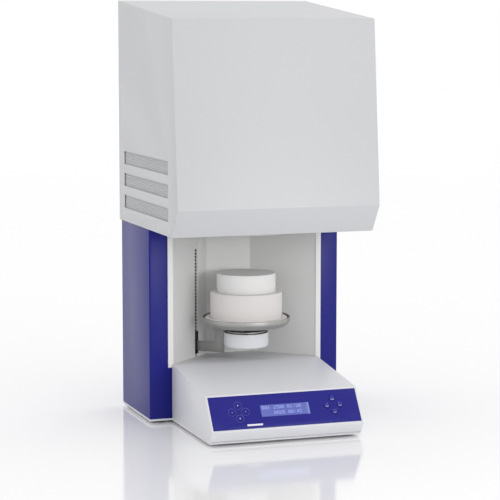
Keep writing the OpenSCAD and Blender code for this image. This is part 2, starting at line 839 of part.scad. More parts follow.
module fan_guard() {
    corner = fan_bolt * sqrt(2);
    color(bare_steel) translate([fan_x, back_y, fan_z]) rotate([-90, 0, 0]) {
        for (r = [8:7:36]) translate([0, 0, guard_proud - guard_wire])
            tube(r + guard_wire / 2, r - guard_wire / 2, guard_wire);
        for (a = [45:90:315]) rotate([0, 0, a]) {
            box(6, corner - 3, -guard_wire / 2, guard_wire / 2, 2, guard_proud - guard_wire / 2);
            translate([corner, 0, 0]) tube(4, 2.2, guard_proud);
        }
    }
}

rocker_z = inlet_z + 18;
rocker_w = 14;
rocker_h = 19;
rocker_tilt = 8;
rocker_pivot_y = back_y - 4;
rocker_pin_r = 1.2;
rocker_pin_l = rocker_w + 5;
module mains_inlet() {
    depth = 26;
    flange = 3;
    color("black") difference() {
        union() {
            box(inlet_x - inlet_w / 2 + 0.3, inlet_x + inlet_w / 2 - 0.3, back_y - depth, back_y,
                inlet_z - inlet_h / 2 + 0.3, inlet_z + inlet_h / 2 - 0.3);
            box(inlet_x - inlet_w / 2 - 4, inlet_x + inlet_w / 2 + 4, back_y, back_y + flange,
                inlet_z - inlet_h / 2 - 4, inlet_z + inlet_h / 2 + 4);
        }
        // appliance socket, with its three flat pins left standing
        difference() {
            box(inlet_x - 12, inlet_x + 12, back_y - 16, back_y + flange + 1, inlet_z - 24, inlet_z - 8);
            for (x = [-7, 0, 7]) box(inlet_x + x - 1, inlet_x + x + 1, back_y - 17, back_y - 1,
                inlet_z - 18 + (x == 0 ? 2 : -1), inlet_z - 14 + (x == 0 ? 2 : -1));
        }
        box(inlet_x - rocker_w / 2 - 0.8, inlet_x + rocker_w / 2 + 0.8, back_y - 12, back_y + flange + 1,
            rocker_z - rocker_h / 2 - 0.8, rocker_z + rocker_h / 2 + 0.8);
        translate([inlet_x - rocker_pin_l / 2 - 0.2, rocker_pivot_y, rocker_z]) rotate([0, 90, 0])
            cylinder(r = rocker_pin_r + joint_gap, h = rocker_pin_l + 0.4);
    }
}
// The rocker is stored switched on, with its upper half pressed in
module power_switch() {
    color("darkgreen") translate([inlet_x, rocker_pivot_y, rocker_z]) rotate([rocker_tilt, 0, 0]) {
        translate([-rocker_w / 2, -3, -rocker_h / 2 + 0.8]) cube([rocker_w, 9, rocker_h - 1.6]);
        translate([-rocker_pin_l / 2, 0, 0]) rotate([0, 90, 0])
            cylinder(r = rocker_pin_r, h = rocker_pin_l);
    }
}

// ---- lift ----

// Outline of the band's loop seen from the side, at distance d outside its middle line
module band_loop(d) {
    translate([drum_x - drum_r - d, drum_low_z]) square([2 * (drum_r + d), drum_high_z - drum_low_z]);
    for (z = [drum_low_z, drum_high_z]) translate([drum_x, z]) circle(r = drum_r + d);
}

module lift_band() {
    color(white_paint) at_lift() difference() {
        translate([0, band_w / 2, 0]) rotate([90, 0, 0]) linear_extrude(band_w) difference() {
            band_loop(band_t / 2);
            band_loop(-band_t / 2);
        }
        for (i = [0:windows_between]) translate([drum_x, 0, drum_low_z + i * band_pitch])
            cube([4 * drum_r, window_w, window_h], center = true);
        for (s = [-1, 1], i = [1:drum_teeth / 2 - 1])
            translate([drum_x, 0, s < 0 ? drum_low_z : drum_high_z])
                rotate([0, -s * i * 360 / drum_teeth, 0])
                    translate([drum_r, 0, 0]) cube([6, window_w, window_h], center = true);
    }
}

tooth_w = 5;
tooth_h = 2.2;
tooth_proud = 0.15;
module drum(z, bore_r) {
    r = drum_r - band_t / 2 - joint_gap;
    tooth_root = 1;
    translate([drum_x, 0, z]) rotate([90, 0, 0]) difference() {
        union() {
            translate([0, 0, -band_w / 2]) cylinder(r = r, h = band_w);
            for (i = [0:drum_teeth - 1]) rotate([0, 0, i * 360 / drum_teeth])
                translate([r - tooth_root, -tooth_h / 2, -tooth_w / 2])
                    cube([drum_r + band_t / 2 + tooth_proud - r + tooth_root, tooth_h, tooth_w]);
        }
        if (bore_r > 0) translate([0, 0, -band_w]) cylinder(r = bore_r, h = 2 * band_w);
    }
}

motor_y = ear_y + frame_t;
shaft_in = 10;
gearbox_l = 26;
motor_l = 36;
module drive_drum() {
    color("silver") at_lift() {
        drum(drum_low_z, 0);
        translate([drum_x, motor_y + shaft_in - 0.5, drum_low_z]) rotate([90, 0, 0])
            cylinder(r = shaft_r, h = 2 * motor_y + shaft_in + 1.5);
    }
}
module idler_drum() {
    color("silver") at_lift() drum(drum_high_z, axle_r + joint_gap);
}

module lift_motor() {
    color("dimgray") at_lift() translate([drum_x, motor_y, drum_low_z]) rotate([-90, 0, 0]) {
        difference() {
            cylinder(r = 15, h = gearbox_l);
            translate([0, 0, -1]) cylinder(r = shaft_r + joint_gap, h = shaft_in + 1);
        }
        translate([0, 0, gearbox_l]) cylinder(r = 13, h = motor_l);
    }
}

module rod_pair(r, z, h) {
    for (s = [-1, 1]) translate([rod_x, s * rod_y, z]) cylinder(r = r, h = h);
}

// A back plate with a shelf at each end for the rods, and ears for the two drums
ear_round = 10;
shelf_play = 2;
module lift_frame() {
    front = wall_x + sheet_t + shelf_play;
    ear_front = front + shelf_play;
    ear_back = drum_x + ear_round;
    color("silver") at_lift() {
        difference() {
            union() {
                box(plate_x, plate_x + frame_t, -frame_y, frame_y, tray_z + hood_t, rail_top_z);
                for (z = [shelf_z, rail_top_z - shelf_t])
                    box(front, plate_x + eps, -frame_y, frame_y, z, z + shelf_t);
                for (y = [-ear_y - frame_t, ear_y]) {
                    box(ear_front, ear_back, y, y + frame_t, shelf_z + shelf_t - eps,
                        drum_low_z + ear_round);
                    box(ear_front, ear_back, y, y + frame_t, drum_high_z - ear_round,
                        rail_top_z - shelf_t + eps);
                }
            }
            rod_pair(rod_r, shelf_z - 1, rail_top_z);
            translate([drum_x, 2 * ear_y, drum_low_z]) rotate([90, 0, 0])
                cylinder(r = shaft_r + joint_gap, h = 4 * ear_y);
        }
        translate([drum_x, ear_y + eps, drum_high_z]) rotate([90, 0, 0])
            cylinder(r = axle_r, h = 2 * (ear_y + eps));
    }
}

module guide_rods() {
    color("silver") at_lift() rod_pair(rod_r, shelf_z, rail_top_z - shelf_z);
}

flag_h = 12;
flag_z = arm_z + 10;
module end_sensors() {
    x = plate_x - 10;
    color("black") at_lift() for (z = [flag_z - lift_down - 1, flag_z + lift_up - 1]) difference() {
        box(x, plate_x, -7, 7, z, z + flag_h + 2);
        box(x - 1, plate_x - 3, -2.5, 2.5, z - 1, z + flag_h + 3);
    }
}

bush_r = rod_r + 3;
bush_h = 12;
carriage_x = band_x + band_t / 2 + band_gap;
carriage_side = 11;
// A block on both rods, open behind them and cut through for the band's back run
module lift_carriage() {
    back = rod_x + bush_r + 4;
    color("slategray") at_lift() {
        difference() {
            box(carriage_x, back - 5, -rod_y - carriage_side, rod_y + carriage_side, arm_z,
                arm_z + carriage_h);
            box(back_run_x - 3, back_run_x + 3, -band_w / 2 - 2, band_w / 2 + 2, arm_z - 1,
                arm_z + carriage_h + 1);
            rod_pair(bush_r, arm_z - 1, carriage_h + 2);
            for (s = [-1, 1]) box(rod_x, back, s * rod_y - 3, s * rod_y + 3, arm_z - 1,
                arm_z + carriage_h + 1);
        }
        // the flag that runs through the end sensors
        box(back - 5 - eps, plate_x - 4.5, -1, 1, flag_z, flag_z + flag_h);
    }
}

module carriage_bushes() {
    color("peru") at_lift() for (s = [-1, 1], z = [arm_z, arm_z + carriage_h - bush_h])
        translate([rod_x, s * rod_y, z]) tube(bush_r, rod_r + joint_gap, bush_h);
}

// A strip over the slot, pinned through the band's windows to the carriage
clamp_t = 1.2;
clamp_x = wall_x - wall_gap;
pin_r = 1.5;
pin_edge = 2;
first_pin = ceil((arm_z + pin_edge - drum_low_z) / band_pitch);
last_pin = floor((arm_z + carriage_h - pin_edge - drum_low_z) / band_pitch);
module arm_clamp() {
    color("black") at_lift() {
        box(clamp_x - clamp_t, clamp_x, -slot_w / 2 + slot_play, slot_w / 2 - slot_play,
            slot_low_z + lift_down + slot_play, arm_z + carriage_h);
        for (i = [first_pin:last_pin]) translate([clamp_x - eps, 0, drum_low_z + i * band_pitch])
            rotate([0, 90, 0]) cylinder(r = pin_r, h = carriage_x - clamp_x + eps);
    }
}

riser_in = cap_r + 4.5;
riser_out = riser_in + 18;
head_r = cap_r - 4;
head_w = 20;
module lift_arm() {
    root_x = clamp_x - clamp_t;
    color("darkgray") at_lift() {
        translate([0, arm_t / 2, 0]) rotate([90, 0, 0]) linear_extrude(arm_t)
            polygon([[root_x, arm_z], [root_x, arm_z + arm_h], [riser_out, arm_z + arm_h],
                [riser_out, head_z], [riser_in, head_z], [riser_in, arm_z]]);
        translate([0, 0, head_z]) {
            cylinder(r = head_r, h = head_t);
            translate([0, -head_w / 2, 0]) cube([riser_out, head_w, head_t]);
        }
    }
}

stud_ring = 24;
cap_t = 2;
// Four studs between the arm's head and the pan, and one down to the cap's floor
module arm_studs() {
    gap_z = head_z + head_t;
    cap_floor_z = head_z - sheet_gap - cap_h + cap_t;
    color("silver") at_axis() {
        for (a = [0:120:240]) rotate([0, 0, a + 15]) translate([stud_ring, 0, gap_z])
            cylinder(r = 5, h = pan_z - gap_z);
        translate([0, 0, gap_z]) cylinder(r = 9, h = pan_z - gap_z);
        translate([0, 0, cap_floor_z]) cylinder(r = 4, h = head_z - cap_floor_z);
    }
}

cap_round = 6;
module hub_cap() {
    h = cap_h - sheet_gap;
    color(white_paint) at_axis() translate([0, 0, head_z - cap_h - sheet_gap]) difference() {
        rotate_extrude() polygon(concat([[0, 0]],
            [for (k = [0:bend_steps]) let (a = 90 * k / bend_steps)
                [cap_r - cap_round + cap_round * sin(a), cap_round - cap_round * cos(a)]],
            [[cap_r, h], [0, h]]));
        translate([0, 0, cap_t]) cylinder(r = cap_r - cap_t, h = h);
    }
}

// The pan's wall in section: flat bottom, a rounded shoulder, and an upright rim
shoulder_r = 9;
module pan_profile(grow) {
    c = [pan_r - grow - shoulder_r, shoulder_r];
    polygon(concat([[0, grow]],
        [for (k = [0:bend_steps]) let (a = 90 * k / bend_steps)
            [c[0] + shoulder_r * sin(a), c[1] + grow - shoulder_r * cos(a)]],
        [[pan_r - grow, pan_h], [0, pan_h]]));
}
module lift_pan() {
    color(bare_steel) at_axis() translate([0, 0, pan_z]) difference() {
        rotate_extrude() pan_profile(0);
        rotate_extrude() translate([0, eps]) pan_profile(pan_t);
        translate([0, 0, pan_h - eps]) cylinder(r = pan_r, h = 1);
    }
}
ring_gap = 3.4;        // between the sealing ring and the pan's rim
ring_low = 1.4;        // from the ring's top up to the rim
module pan_gasket() {
    low = pan_t + shoulder_r / 2;
    color(fibre_white) at_axis() translate([0, 0, pan_z + low])
        tube(pan_r - pan_t - ring_gap, plug_r + sheet_gap, pan_h - low - ring_low);
}
module hearth_plug() {
    color("seashell") at_axis() translate([0, 0, plug_z + 2 * eps])
        cylinder(r = plug_r, h = plug_h - 2 * eps);
}
module hearth_block() {
    color("snow") at_axis() translate([0, 0, hearth_z]) cylinder(r = hearth_r, h = hearth_h);
}

// ---- the object ----

base_tray();
feet();
base_cover();
control_panel();
lcd_display();
control_board();
menu_key();
start_key();
stop_key();
light_key();
up_key();
down_key();
left_key();
right_key();
left_column();
right_column();
bay_liner();
frame_posts();
column_back();
hood_deck();
hood_shell();
vent_screens();
hood_back();
wall_spacers();
cover_screws();
throat_collar();
throat_ring();
chamber_ring();
chamber_roof();
chamber_casing();
casing_lid();
heating_elements();
element_clamps();
element_straps();
thermocouple();
transformer_core();
transformer_coils();
power_module();
fan_frame();
fan_rotor();
fan_guard();
mains_inlet();
power_switch();
lift_frame();
guide_rods();
lift_band();
drive_drum();
idler_drum();
lift_motor();
end_sensors();
lift_carriage();
carriage_bushes();
arm_clamp();
lift_arm();
arm_studs();
hub_cap();
lift_pan();
pan_gasket();
hearth_plug();
hearth_block();
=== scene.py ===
"""A bench-top, bottom-loading kiln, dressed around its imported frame. Lengths are in metres."""
import math

import bpy
from mathutils import Matrix, Vector
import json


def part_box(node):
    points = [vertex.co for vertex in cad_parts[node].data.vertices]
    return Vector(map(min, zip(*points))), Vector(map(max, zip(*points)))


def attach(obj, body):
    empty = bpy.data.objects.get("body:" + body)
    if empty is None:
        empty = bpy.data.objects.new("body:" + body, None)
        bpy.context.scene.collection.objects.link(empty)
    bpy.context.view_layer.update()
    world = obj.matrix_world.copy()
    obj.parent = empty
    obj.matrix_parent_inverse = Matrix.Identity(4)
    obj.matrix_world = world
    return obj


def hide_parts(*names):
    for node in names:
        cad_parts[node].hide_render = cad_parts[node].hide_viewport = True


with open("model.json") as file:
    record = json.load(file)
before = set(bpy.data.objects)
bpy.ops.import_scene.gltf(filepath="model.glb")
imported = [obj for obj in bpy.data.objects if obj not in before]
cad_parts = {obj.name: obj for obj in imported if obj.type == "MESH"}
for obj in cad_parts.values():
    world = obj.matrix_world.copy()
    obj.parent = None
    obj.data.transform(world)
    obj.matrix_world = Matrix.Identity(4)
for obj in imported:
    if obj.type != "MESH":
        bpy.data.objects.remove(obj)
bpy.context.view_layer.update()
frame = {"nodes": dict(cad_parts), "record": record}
record = frame["record"]
BODY_OF = {node: body for body, nodes in record["behaviour"]["bodies"].items() for node in nodes}
SLOT_OF = {part["node"]: part["material_slot"] for part in record["subparts"]}
JOINTS = {joint["name"]: joint for joint in record["behaviour"]["joints"]}
MM = 0.001


# ---- the kiln's own places, read from the frame ----

def middle(node):
    low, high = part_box(node)
    return (low + high) / 2


AXIS = Vector((0, middle("hearth_block").y, 0))
AT_AXIS = Matrix.Translation(AXIS)
# the lift stands square to the bay's left wall: x runs from the axis to the slot, y along the wall
AT_LIFT = AT_AXIS @ Matrix.Rotation(math.radians(135), 4, "Z")
FILM_T = 0.8 * MM
press = Vector(JOINTS["menu_key_press"]["axis"])
PANEL_TILT = math.atan2(press.y, -press.z)
# the control face: x to the right, y up the slope, z out of it, from the film's underside
AT_PANEL = (Matrix.Translation(middle("control_panel") + press.normalized() * FILM_T / 2)
            @ Matrix.Rotation(PANEL_TILT, 4, "X"))
BACK_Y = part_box("column_back")[1].y


def facing_back(x, y, z):
    """A place whose own z points out of the kiln's back."""
    return Matrix.Translation((x, y, z)) @ Matrix.Rotation(math.radians(-90), 4, "X")


def on_film(node):
    """The place on the film's face over the middle of a key."""
    centre = AT_PANEL.inverted() @ middle(node)
    return AT_PANEL @ Matrix.Translation((centre.x, centre.y, FILM_T))


def round_part(node):
    """The radius, foot and top of a node that is round about the hearth's axis."""
    low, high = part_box(node)
    return (high.x - low.x) / 2, low.z, high.z


def mm(*points):
    """Points given in millimetres, such as (radius, height), in metres."""
    return [tuple(part * MM for part in point) for point in points]


def spots(node, apart, axes, keep=lambda place: True):
    """The middles of a node's scattered pieces, seen along one axis."""
    groups = []
    for vertex in frame["nodes"][node].data.vertices:
        if not keep(vertex.co):
            continue
        spot = Vector([vertex.co[axis] for axis in axes])
        near = [group for group in groups if (group[0] - spot).length < apart]
        if near:
            near[0].append(spot)
        else:
            groups.append([spot])
    return [[(min(spot[i] for spot in group) + max(spot[i] for spot in group)) / 2
             for i in range(2)] for group in groups]


# ---- shader maths ----

def sum_of(operation, reflected=False):
    """One of Python's operators, as the Math node that does the same."""
    if reflected:
        return lambda self, other: self.finish.maths(operation, other, self)
    return lambda self, other: self.finish.maths(operation, self, other)


class Signal:
    """A value on its way through a material, which takes part in ordinary sums."""

    def __init__(self, finish, socket):
        self.finish = finish
        self.socket = socket

    __add__ = __radd__ = sum_of("ADD")
    __mul__ = __rmul__ = sum_of("MULTIPLY")
    __rsub__ = sum_of("SUBTRACT", reflected=True)
    __truediv__ = sum_of("DIVIDE")
    __pow__ = sum_of("POWER")
    __lt__ = sum_of("LESS_THAN")


MIX_FACTOR, MIX_FIRST, MIX_SECOND, MIX_RESULT = 0, 6, 7, 2


class Finish:
    """A material under construction: its node tree, ending in a Principled shader."""

    def __init__(self, name, colour, rough, **constants):
        self.material = bpy.data.materials.new(name)
        self.material.use_nodes = True
        self.tree = self.material.node_tree
        self.shader = next(n for n in self.tree.nodes if n.type == "BSDF_PRINCIPLED")
        self.colour = (*colour, 1.0)
        self.feed("Base Color", self.colour)
        self.feed("Roughness", rough)
        for socket, value in constants.items():
            self.feed(socket.replace("_", " ").title().replace("Ior", "IOR"), value)

    def feed(self, socket, value, node=None):
        target = (node or self.shader).inputs[socket]
        if isinstance(value, Signal):
            self.tree.links.new(value.socket, target)
        else:
            target.default_value = value

    def node(self, kind, settings=None, inputs=None, out=0):
        """Adds a node, sets it up, feeds its sockets, and gives back one of its outputs."""
        made = self.tree.nodes.new(kind)
        for setting, value in (settings or {}).items():
            if setting == "stops":
                elements = made.color_ramp.elements
                while len(elements) < len(value):
                    elements.new(0.5)
                for element, (place, tint) in zip(elements, value):
                    element.position = place
                    element.color = (*tint, 1.0)
            else:
                setattr(made, setting, value)
        for socket, value in (inputs or {}).items():
            self.feed(socket, value, made)
        return Signal(self, made.outputs[out])

    def maths(self, operation, a, b):
        return self.node("ShaderNodeMath", {"operation": operation}, {0: a, 1: b})

    def place(self, scale=(1, 1, 1), turn=(0, 0, 0), shift=(0, 0, 0)):
        """Object coordinates, turned and stretched."""
        here = self.node("ShaderNodeTexCoord", out="Object")
        return self.node("ShaderNodeMapping", None,
                         {"Vector": here, "Scale": scale, "Rotation": turn, "Location": shift})

    def axes(self, vector):
        parts = self.node("ShaderNodeSeparateXYZ", None, {0: vector})
        outputs = parts.socket.node.outputs
        return [Signal(self, outputs[i]) for i in range(3)]

    def noise(self, scale, vector=None, detail=2.0, rough=0.5):
        return self.node("ShaderNodeTexNoise", None,
                         {"Vector": vector or self.place(), "Scale": scale, "Detail": detail,
                          "Roughness": rough})

    def cells(self, scale, out="Distance"):
        return self.node("ShaderNodeTexVoronoi", {"feature": "F1"},
                         {"Vector": self.place(), "Scale": scale}, out)

    def waves(self, scale, vector, direction="X", distortion=0.0):
        return self.node("ShaderNodeTexWave", {"bands_direction": direction},
                         {"Vector": vector, "Scale": scale, "Distortion": distortion,
                          "Detail": 2.0})

    def ramp(self, value, *stops):
        return self.node("ShaderNodeValToRGB", {"stops": stops}, {0: value})

    def tint(self, amount, other, base=None):
        """Mixes another colour into the base colour by a signal."""
        return self.node("ShaderNodeMix", {"data_type": "RGBA"},
                         {MIX_FACTOR: amount, MIX_FIRST: base or self.colour,
                          MIX_SECOND: (*other, 1.0)}, MIX_RESULT)

    def dressed(self, colour, rough, height, depth, strength):
        """Feeds the colour, the roughness and the relief, and gives back the material."""
        self.feed("Base Color", colour)
        self.feed("Roughness", rough)
        self.feed("Normal", self.node("ShaderNodeBump", None,
                                      {"Height": height, "Distance": depth,
                                       "Strength": strength}))
        return self.material


def scaled(colour, factor):
    return tuple(min(1.0, part * factor) for part in colour)


# ---- finishes ----

def powder_coat(name, colour, rough=0.38, dust=0.05):
    """Baked powder paint: a fine orange peel, and a little dust that dulls it unevenly."""
    paint = Finish(name, colour, rough, specular_ior_level=0.22)
    cloud = paint.noise(4.5, detail=4.0)
    speck = paint.noise(240.0, detail=3.0)
    return paint.dressed(paint.tint(cloud * dust + speck * dust * 0.5, scaled(colour, 0.8)),
                         rough - 0.05 + cloud * 0.08 + speck * 0.05,
                         paint.noise(620.0) + speck * 0.4, 0.00006, 0.5)


def printed_film(name, colour):
    """Satin polyester film over the keys, with faint lengthwise streaks."""
    film = Finish(name, colour, 0.3, specular_ior_level=0.22)
    streak = film.noise(1.0, film.place((9, 900, 900)), detail=3.0)
    grain = film.noise(1500.0)
    return film.dressed(film.tint(streak * 0.16, (0.05, 0.05, 0.42)),
                        0.24 + streak * 0.16,
                        grain + streak * 0.5, 0.00003, 0.5)


def fibre_board(name, colour, rough=0.95, stain=(0.62, 0.54, 0.45)):
    """Vacuum-formed ceramic fibre: matted strands, shallow pits and faint firing stains."""
    board = Finish(name, colour, rough, sheen_weight=0.12, specular_ior_level=0.25)
    strands = board.noise(420.0, board.place((1, 1, 2.6)), detail=6.0, rough=0.7)
    pits = board.cells(260.0)
    cloud = board.noise(14.0, detail=5.0, rough=0.6)
    stained = board.ramp(cloud, (0.52, (0, 0, 0)), (0.8, (1, 1, 1)))
    soiled = board.tint(stained * 0.10, stain)
    return board.dressed(board.tint((1 - strands) * 0.16, scaled(colour, 0.72), soiled),
                         rough - 0.12 + strands * 0.14,
                         strands * 0.8 + pits * 0.5, 0.0005, 0.45)


def spun_steel(name, colour, rough=0.34):
    """Steel turned on a lathe: fine rings round the hearth's axis."""
    steel = Finish(name, colour, rough, metallic=1.0)
    x, y, z = steel.axes(steel.place(shift=tuple(-AXIS)))
    radius = (x * x + y * y) ** 0.5
    rings = steel.node("ShaderNodeTexNoise", {"noise_dimensions": "1D"},
                       {"W": radius + z * 0.7, "Scale": 1800.0, "Detail": 3.0})
    smear = steel.noise(16.0, detail=4.0)
    return steel.dressed(steel.tint(rings * 0.3 + smear * 0.2, scaled(colour, 0.62)),
                         rough - 0.08 + rings * 0.14 + smear * 0.1,
                         rings, 0.00004, 0.5)


def brushed_steel(name, colour, rough=0.36, along=(30, 30, 700)):
    """Sheet or bar steel with a drawn grain and handling marks."""
    steel = Finish(name, colour, rough, metallic=1.0)
    grain = steel.noise(1.0, steel.place(along), detail=4.0)
    smear = steel.noise(22.0, detail=4.0)
    return steel.dressed(steel.tint(grain * 0.25 + smear * 0.25, scaled(colour, 0.6)),
                         rough - 0.08 + grain * 0.16 + smear * 0.1,
                         grain, 0.00005, 0.4)


def zinc_plate(name, colour):
    """Galvanised sheet with its spangle."""
    zinc = Finish(name, colour, 0.42, metallic=1.0)
    flakes = zinc.cells(75.0, out="Color")
    flake = zinc.axes(flakes)[0]
    cloud = zinc.noise(9.0, detail=4.0)
    return zinc.dressed(zinc.tint(flake * 0.4 + cloud * 0.15, scaled(colour, 0.62)),
                        0.32 + flake * 0.18 + cloud * 0.08,
                        flake, 0.00003, 0.3)


def soft_rubber(name, colour):
    rubber = Finish(name, colour, 0.82, specular_ior_level=0.3)
    grain = rubber.noise(900.0, detail=3.0)
    bloom = rubber.noise(30.0, detail=4.0)
    return rubber.dressed(rubber.tint(bloom * 0.25, (0.10, 0.10, 0.10)),
                          0.72 + bloom * 0.16,
                          grain, 0.00012, 0.5)


def moulded_plastic(name, colour, rough=0.5, texture=0.0001):
    """Injection moulding with a spark-eroded grain."""
    plastic = Finish(name, colour, rough)
    grain = plastic.cells(1300.0)
    cloud = plastic.noise(35.0, detail=3.0)
    return plastic.dressed(plastic.tint(cloud * 0.18, scaled(colour, 1.6)),
                           rough - 0.05 + cloud * 0.1,
                           grain, texture, 0.4)


def circuit_laminate(name, colour):
    """Solder mask over copper tracks."""
    board = Finish(name, colour, 0.32, coat_weight=0.3)
    here = board.place(turn=(-PANEL_TILT, 0, 0))
    tracks = board.node("ShaderNodeTexBrick", {"offset": 0.37, "squash": 0.6},
                        {"Vector": here, "Scale": 46.0, "Mortar Size": 0.03,
                         "Brick Width": 0.9, "Row Height": 0.12}, "Fac")
    return board.dressed(board.tint(tracks * 0.55, (0.02, 0.34, 0.13)),
                         0.26 + board.noise(60.0) * 0.16,
                         tracks, 0.00005, 0.6)


def fired_ceramic(name, colour, rough=0.7):
    """Dense unglazed ceramic with iron specks."""
    body = Finish(name, colour, rough)
    specks = body.cells(420.0) < 0.16
    cloud = body.noise(60.0, detail=4.0)
    return body.dressed(body.tint(specks * 0.3 + cloud * 0.15, scaled(colour, 0.5)),
                        rough - 0.08 + cloud * 0.16,
                        body.noise(700.0, detail=4.0), 0.00012, 0.5)


def braided_aluminium(name, colour):
    """Flat braid: two sets of crossing strands, with painted shade in the gaps between them."""
    braid = Finish(name, colour, 0.42, metallic=1.0)
    left = braid.waves(260.0, braid.place(turn=(0.6, 0, 0.785)))
    right = braid.waves(260.0, braid.place(turn=(-0.6, 0, -0.785)))
    weave = left * right
    # painted shade: darker where the weave is low, between the strands
    return braid.dressed(braid.tint(1 - weave, scaled(colour, 0.3)),
                         0.34 + weave * 0.2,
                         weave, 0.0004, 0.7)


def laminated_iron(name, colour):
    """A stack of varnished stampings, seen on edge."""
    iron = Finish(name, colour, 0.55, metallic=0.6)
    sheets = iron.waves(160.0, iron.place(), "Y")
    rust = iron.ramp(iron.noise(30.0, detail=6.0), (0.55, (0, 0, 0)), (0.75, (1, 1, 1)))
    varnished = iron.tint(sheets * 0.5, scaled(colour, 2.2))
    return iron.dressed(iron.tint(rust * 0.3, (0.2, 0.09, 0.04), varnished),
                        0.42 + rust * 0.3,
                        sheets, 0.0003, 0.6)


def wound_copper(name, colour):
    """Enamelled wire in close turns under varnish, with painted shade in the grooves between the
    turns.
    """
    wire = Finish(name, colour, 0.3, metallic=0.75, coat_weight=0.4, coat_roughness=0.15)
    turns = wire.waves(330.0, wire.place(), "Z", 0.15)
    shade = wire.noise(50.0, wire.place((1, 1, 12)), detail=3.0)
    # painted shade in the grooves between turns, plus a random darker tone along the winding
    return wire.dressed(wire.tint((1 - turns) * 0.7 + shade * 0.2, scaled(colour, 0.25)),
                        0.22 + shade * 0.2,
                        turns, 0.0005, 0.8)


def cast_metal(name, colour, rough=0.55, metallic=1.0):
    """Sand-cast or sintered metal with a fine grain."""
    cast = Finish(name, colour, rough, metallic=metallic)
    grain = cast.noise(380.0, detail=6.0, rough=0.65)
    cloud = cast.noise(24.0, detail=3.0)
    return cast.dressed(cast.tint(grain * 0.3 + cloud * 0.15, scaled(colour, 0.55)),
                        rough - 0.1 + grain * 0.2,
                        grain, 0.00025, 0.5)


def black_oxide(name, colour):
    """Blackened steel, a little polished where it is handled."""
    steel = Finish(name, colour, 0.4, metallic=0.7)
    rub = steel.ramp(steel.noise(55.0, detail=5.0), (0.5, (0, 0, 0)), (0.85, (1, 1, 1)))
    return steel.dressed(steel.tint(rub * 0.25, (0.12, 0.12, 0.13)),
                         0.44 - rub * 0.14,
                         steel.noise(800.0, detail=3.0), 0.00005, 0.5)


def lit_display(name, colour):
    """A backlit display behind gloss glass, brightest along its right-hand end."""
    glass = Finish(name, colour, 0.12, coat_weight=0.6, coat_roughness=0.05,
                   emission_strength=0.25)
    along = (glass.axes(glass.place())[0] + LCD_W / 2) / LCD_W
    edge = glass.ramp(along, (0.0, (0.17, 0.22, 0.55)), (0.45, (0.10, 0.13, 0.42)),
                      (0.93, (0.13, 0.18, 0.52)), (0.985, (0.45, 0.75, 1.0)))
    cells = glass.waves(230.0, glass.place()) * 0.08
    glass.feed("Emission Color", glass.tint(cells, (0.02, 0.02, 0.2), edge))
    glass.feed("Base Color", glass.tint(cells, (0.02, 0.02, 0.12)))
    glass.feed("Roughness", 0.08 + glass.noise(60.0) * 0.08)
    return glass.material


def lit_print(name, colour, glow=0.0):
    """Screen-printed ink or lit display dots."""
    ink = Finish(name, colour, 0.45, emission_strength=glow)
    ink.feed("Emission Color", (*colour, 1.0))
    thin = ink.noise(1400.0)
    return ink.dressed(ink.tint(thin * 0.12, scaled(colour, 0.75)), 0.45, thin, 0.00002, 0.3)


LCD_W = 92 * MM
LCD_H = 22.5 * MM
slot_colour = {m["slot"]: tuple(m["base_color"][:3]) for m in record["materials"]}
FINISHES = {
    "white_paint": powder_coat("white_powder_coat", (0.60, 0.605, 0.62)),
    "blue_paint": powder_coat("blue_powder_coat", (0.010, 0.011, 0.20), 0.32, 0.1),
    "panel_film": printed_film("blue_film", (0.012, 0.011, 0.205)),
    "display": lit_display("display_glass", (0.062, 0.078, 0.36)),
    "circuit": circuit_laminate("circuit_laminate", slot_colour["circuit"]),
    "rubber": soft_rubber("black_rubber", slot_colour["rubber"]),
    "steel": brushed_steel("bright_steel", (0.62, 0.62, 0.61)),
    "galvanised": zinc_plate("galvanised_sheet", slot_colour["galvanised"]),
    "band": powder_coat("band_enamel", (0.62, 0.62, 0.62)),
    "fibre": fibre_board("fibre_insulation", (0.80, 0.79, 0.76)),
    "plug_fibre": fibre_board("plug_insulation", (0.71, 0.68, 0.67), stain=(0.66, 0.55, 0.52)),
    "hearth": fibre_board("hearth_insulation", (0.78, 0.775, 0.765), stain=(0.5, 0.48, 0.45)),
    "cap_white": powder_coat("cap_enamel", (0.73, 0.74, 0.76), 0.3),
    "element": fired_ceramic("element_rod", slot_colour["element"], 0.5),
    "holder": fired_ceramic("holder_ceramic", slot_colour["holder"]),
    "braid": braided_aluminium("strap_braid", slot_colour["braid"]),
    "core_iron": laminated_iron("core_laminations", slot_colour["core_iron"]),
    "copper_winding": wound_copper("copper_winding", slot_colour["copper_winding"]),
    "heatsink": brushed_steel("heatsink_aluminium", slot_colour["heatsink"], 0.45),
    "black_plastic": moulded_plastic("black_moulding", slot_colour["black_plastic"]),
    "green_rocker": moulded_plastic("green_rocker", slot_colour["green_rocker"], 0.3, 0.00004),
    "motor": powder_coat("motor_paint", slot_colour["motor"], 0.45),
    "cast_carriage": cast_metal("carriage_casting", slot_colour["cast_carriage"]),
    "bronze": cast_metal("sintered_bronze", slot_colour["bronze"], 0.45),
    "black_steel": black_oxide("black_oxide", slot_colour["black_steel"]),
    "arm_steel": brushed_steel("arm_steel", (0.40, 0.40, 0.39), 0.42, (40, 40, 500)),
    "pan_steel": spun_steel("pan_steel", (0.47, 0.465, 0.45), 0.42),
    "mesh_steel": powder_coat("mesh_enamel", (0.52, 0.525, 0.54)),
}
WHITE_INK = lit_print("white_ink", (0.8, 0.8, 0.84))
# the bay's white paint is a lighter copy of the white powder coat: painted light, standing in for
# fill light inside the bay
BAY_PAINT_WITH_PAINTED_LIGHT = powder_coat("bay_powder_coat", (0.78, 0.78, 0.772))
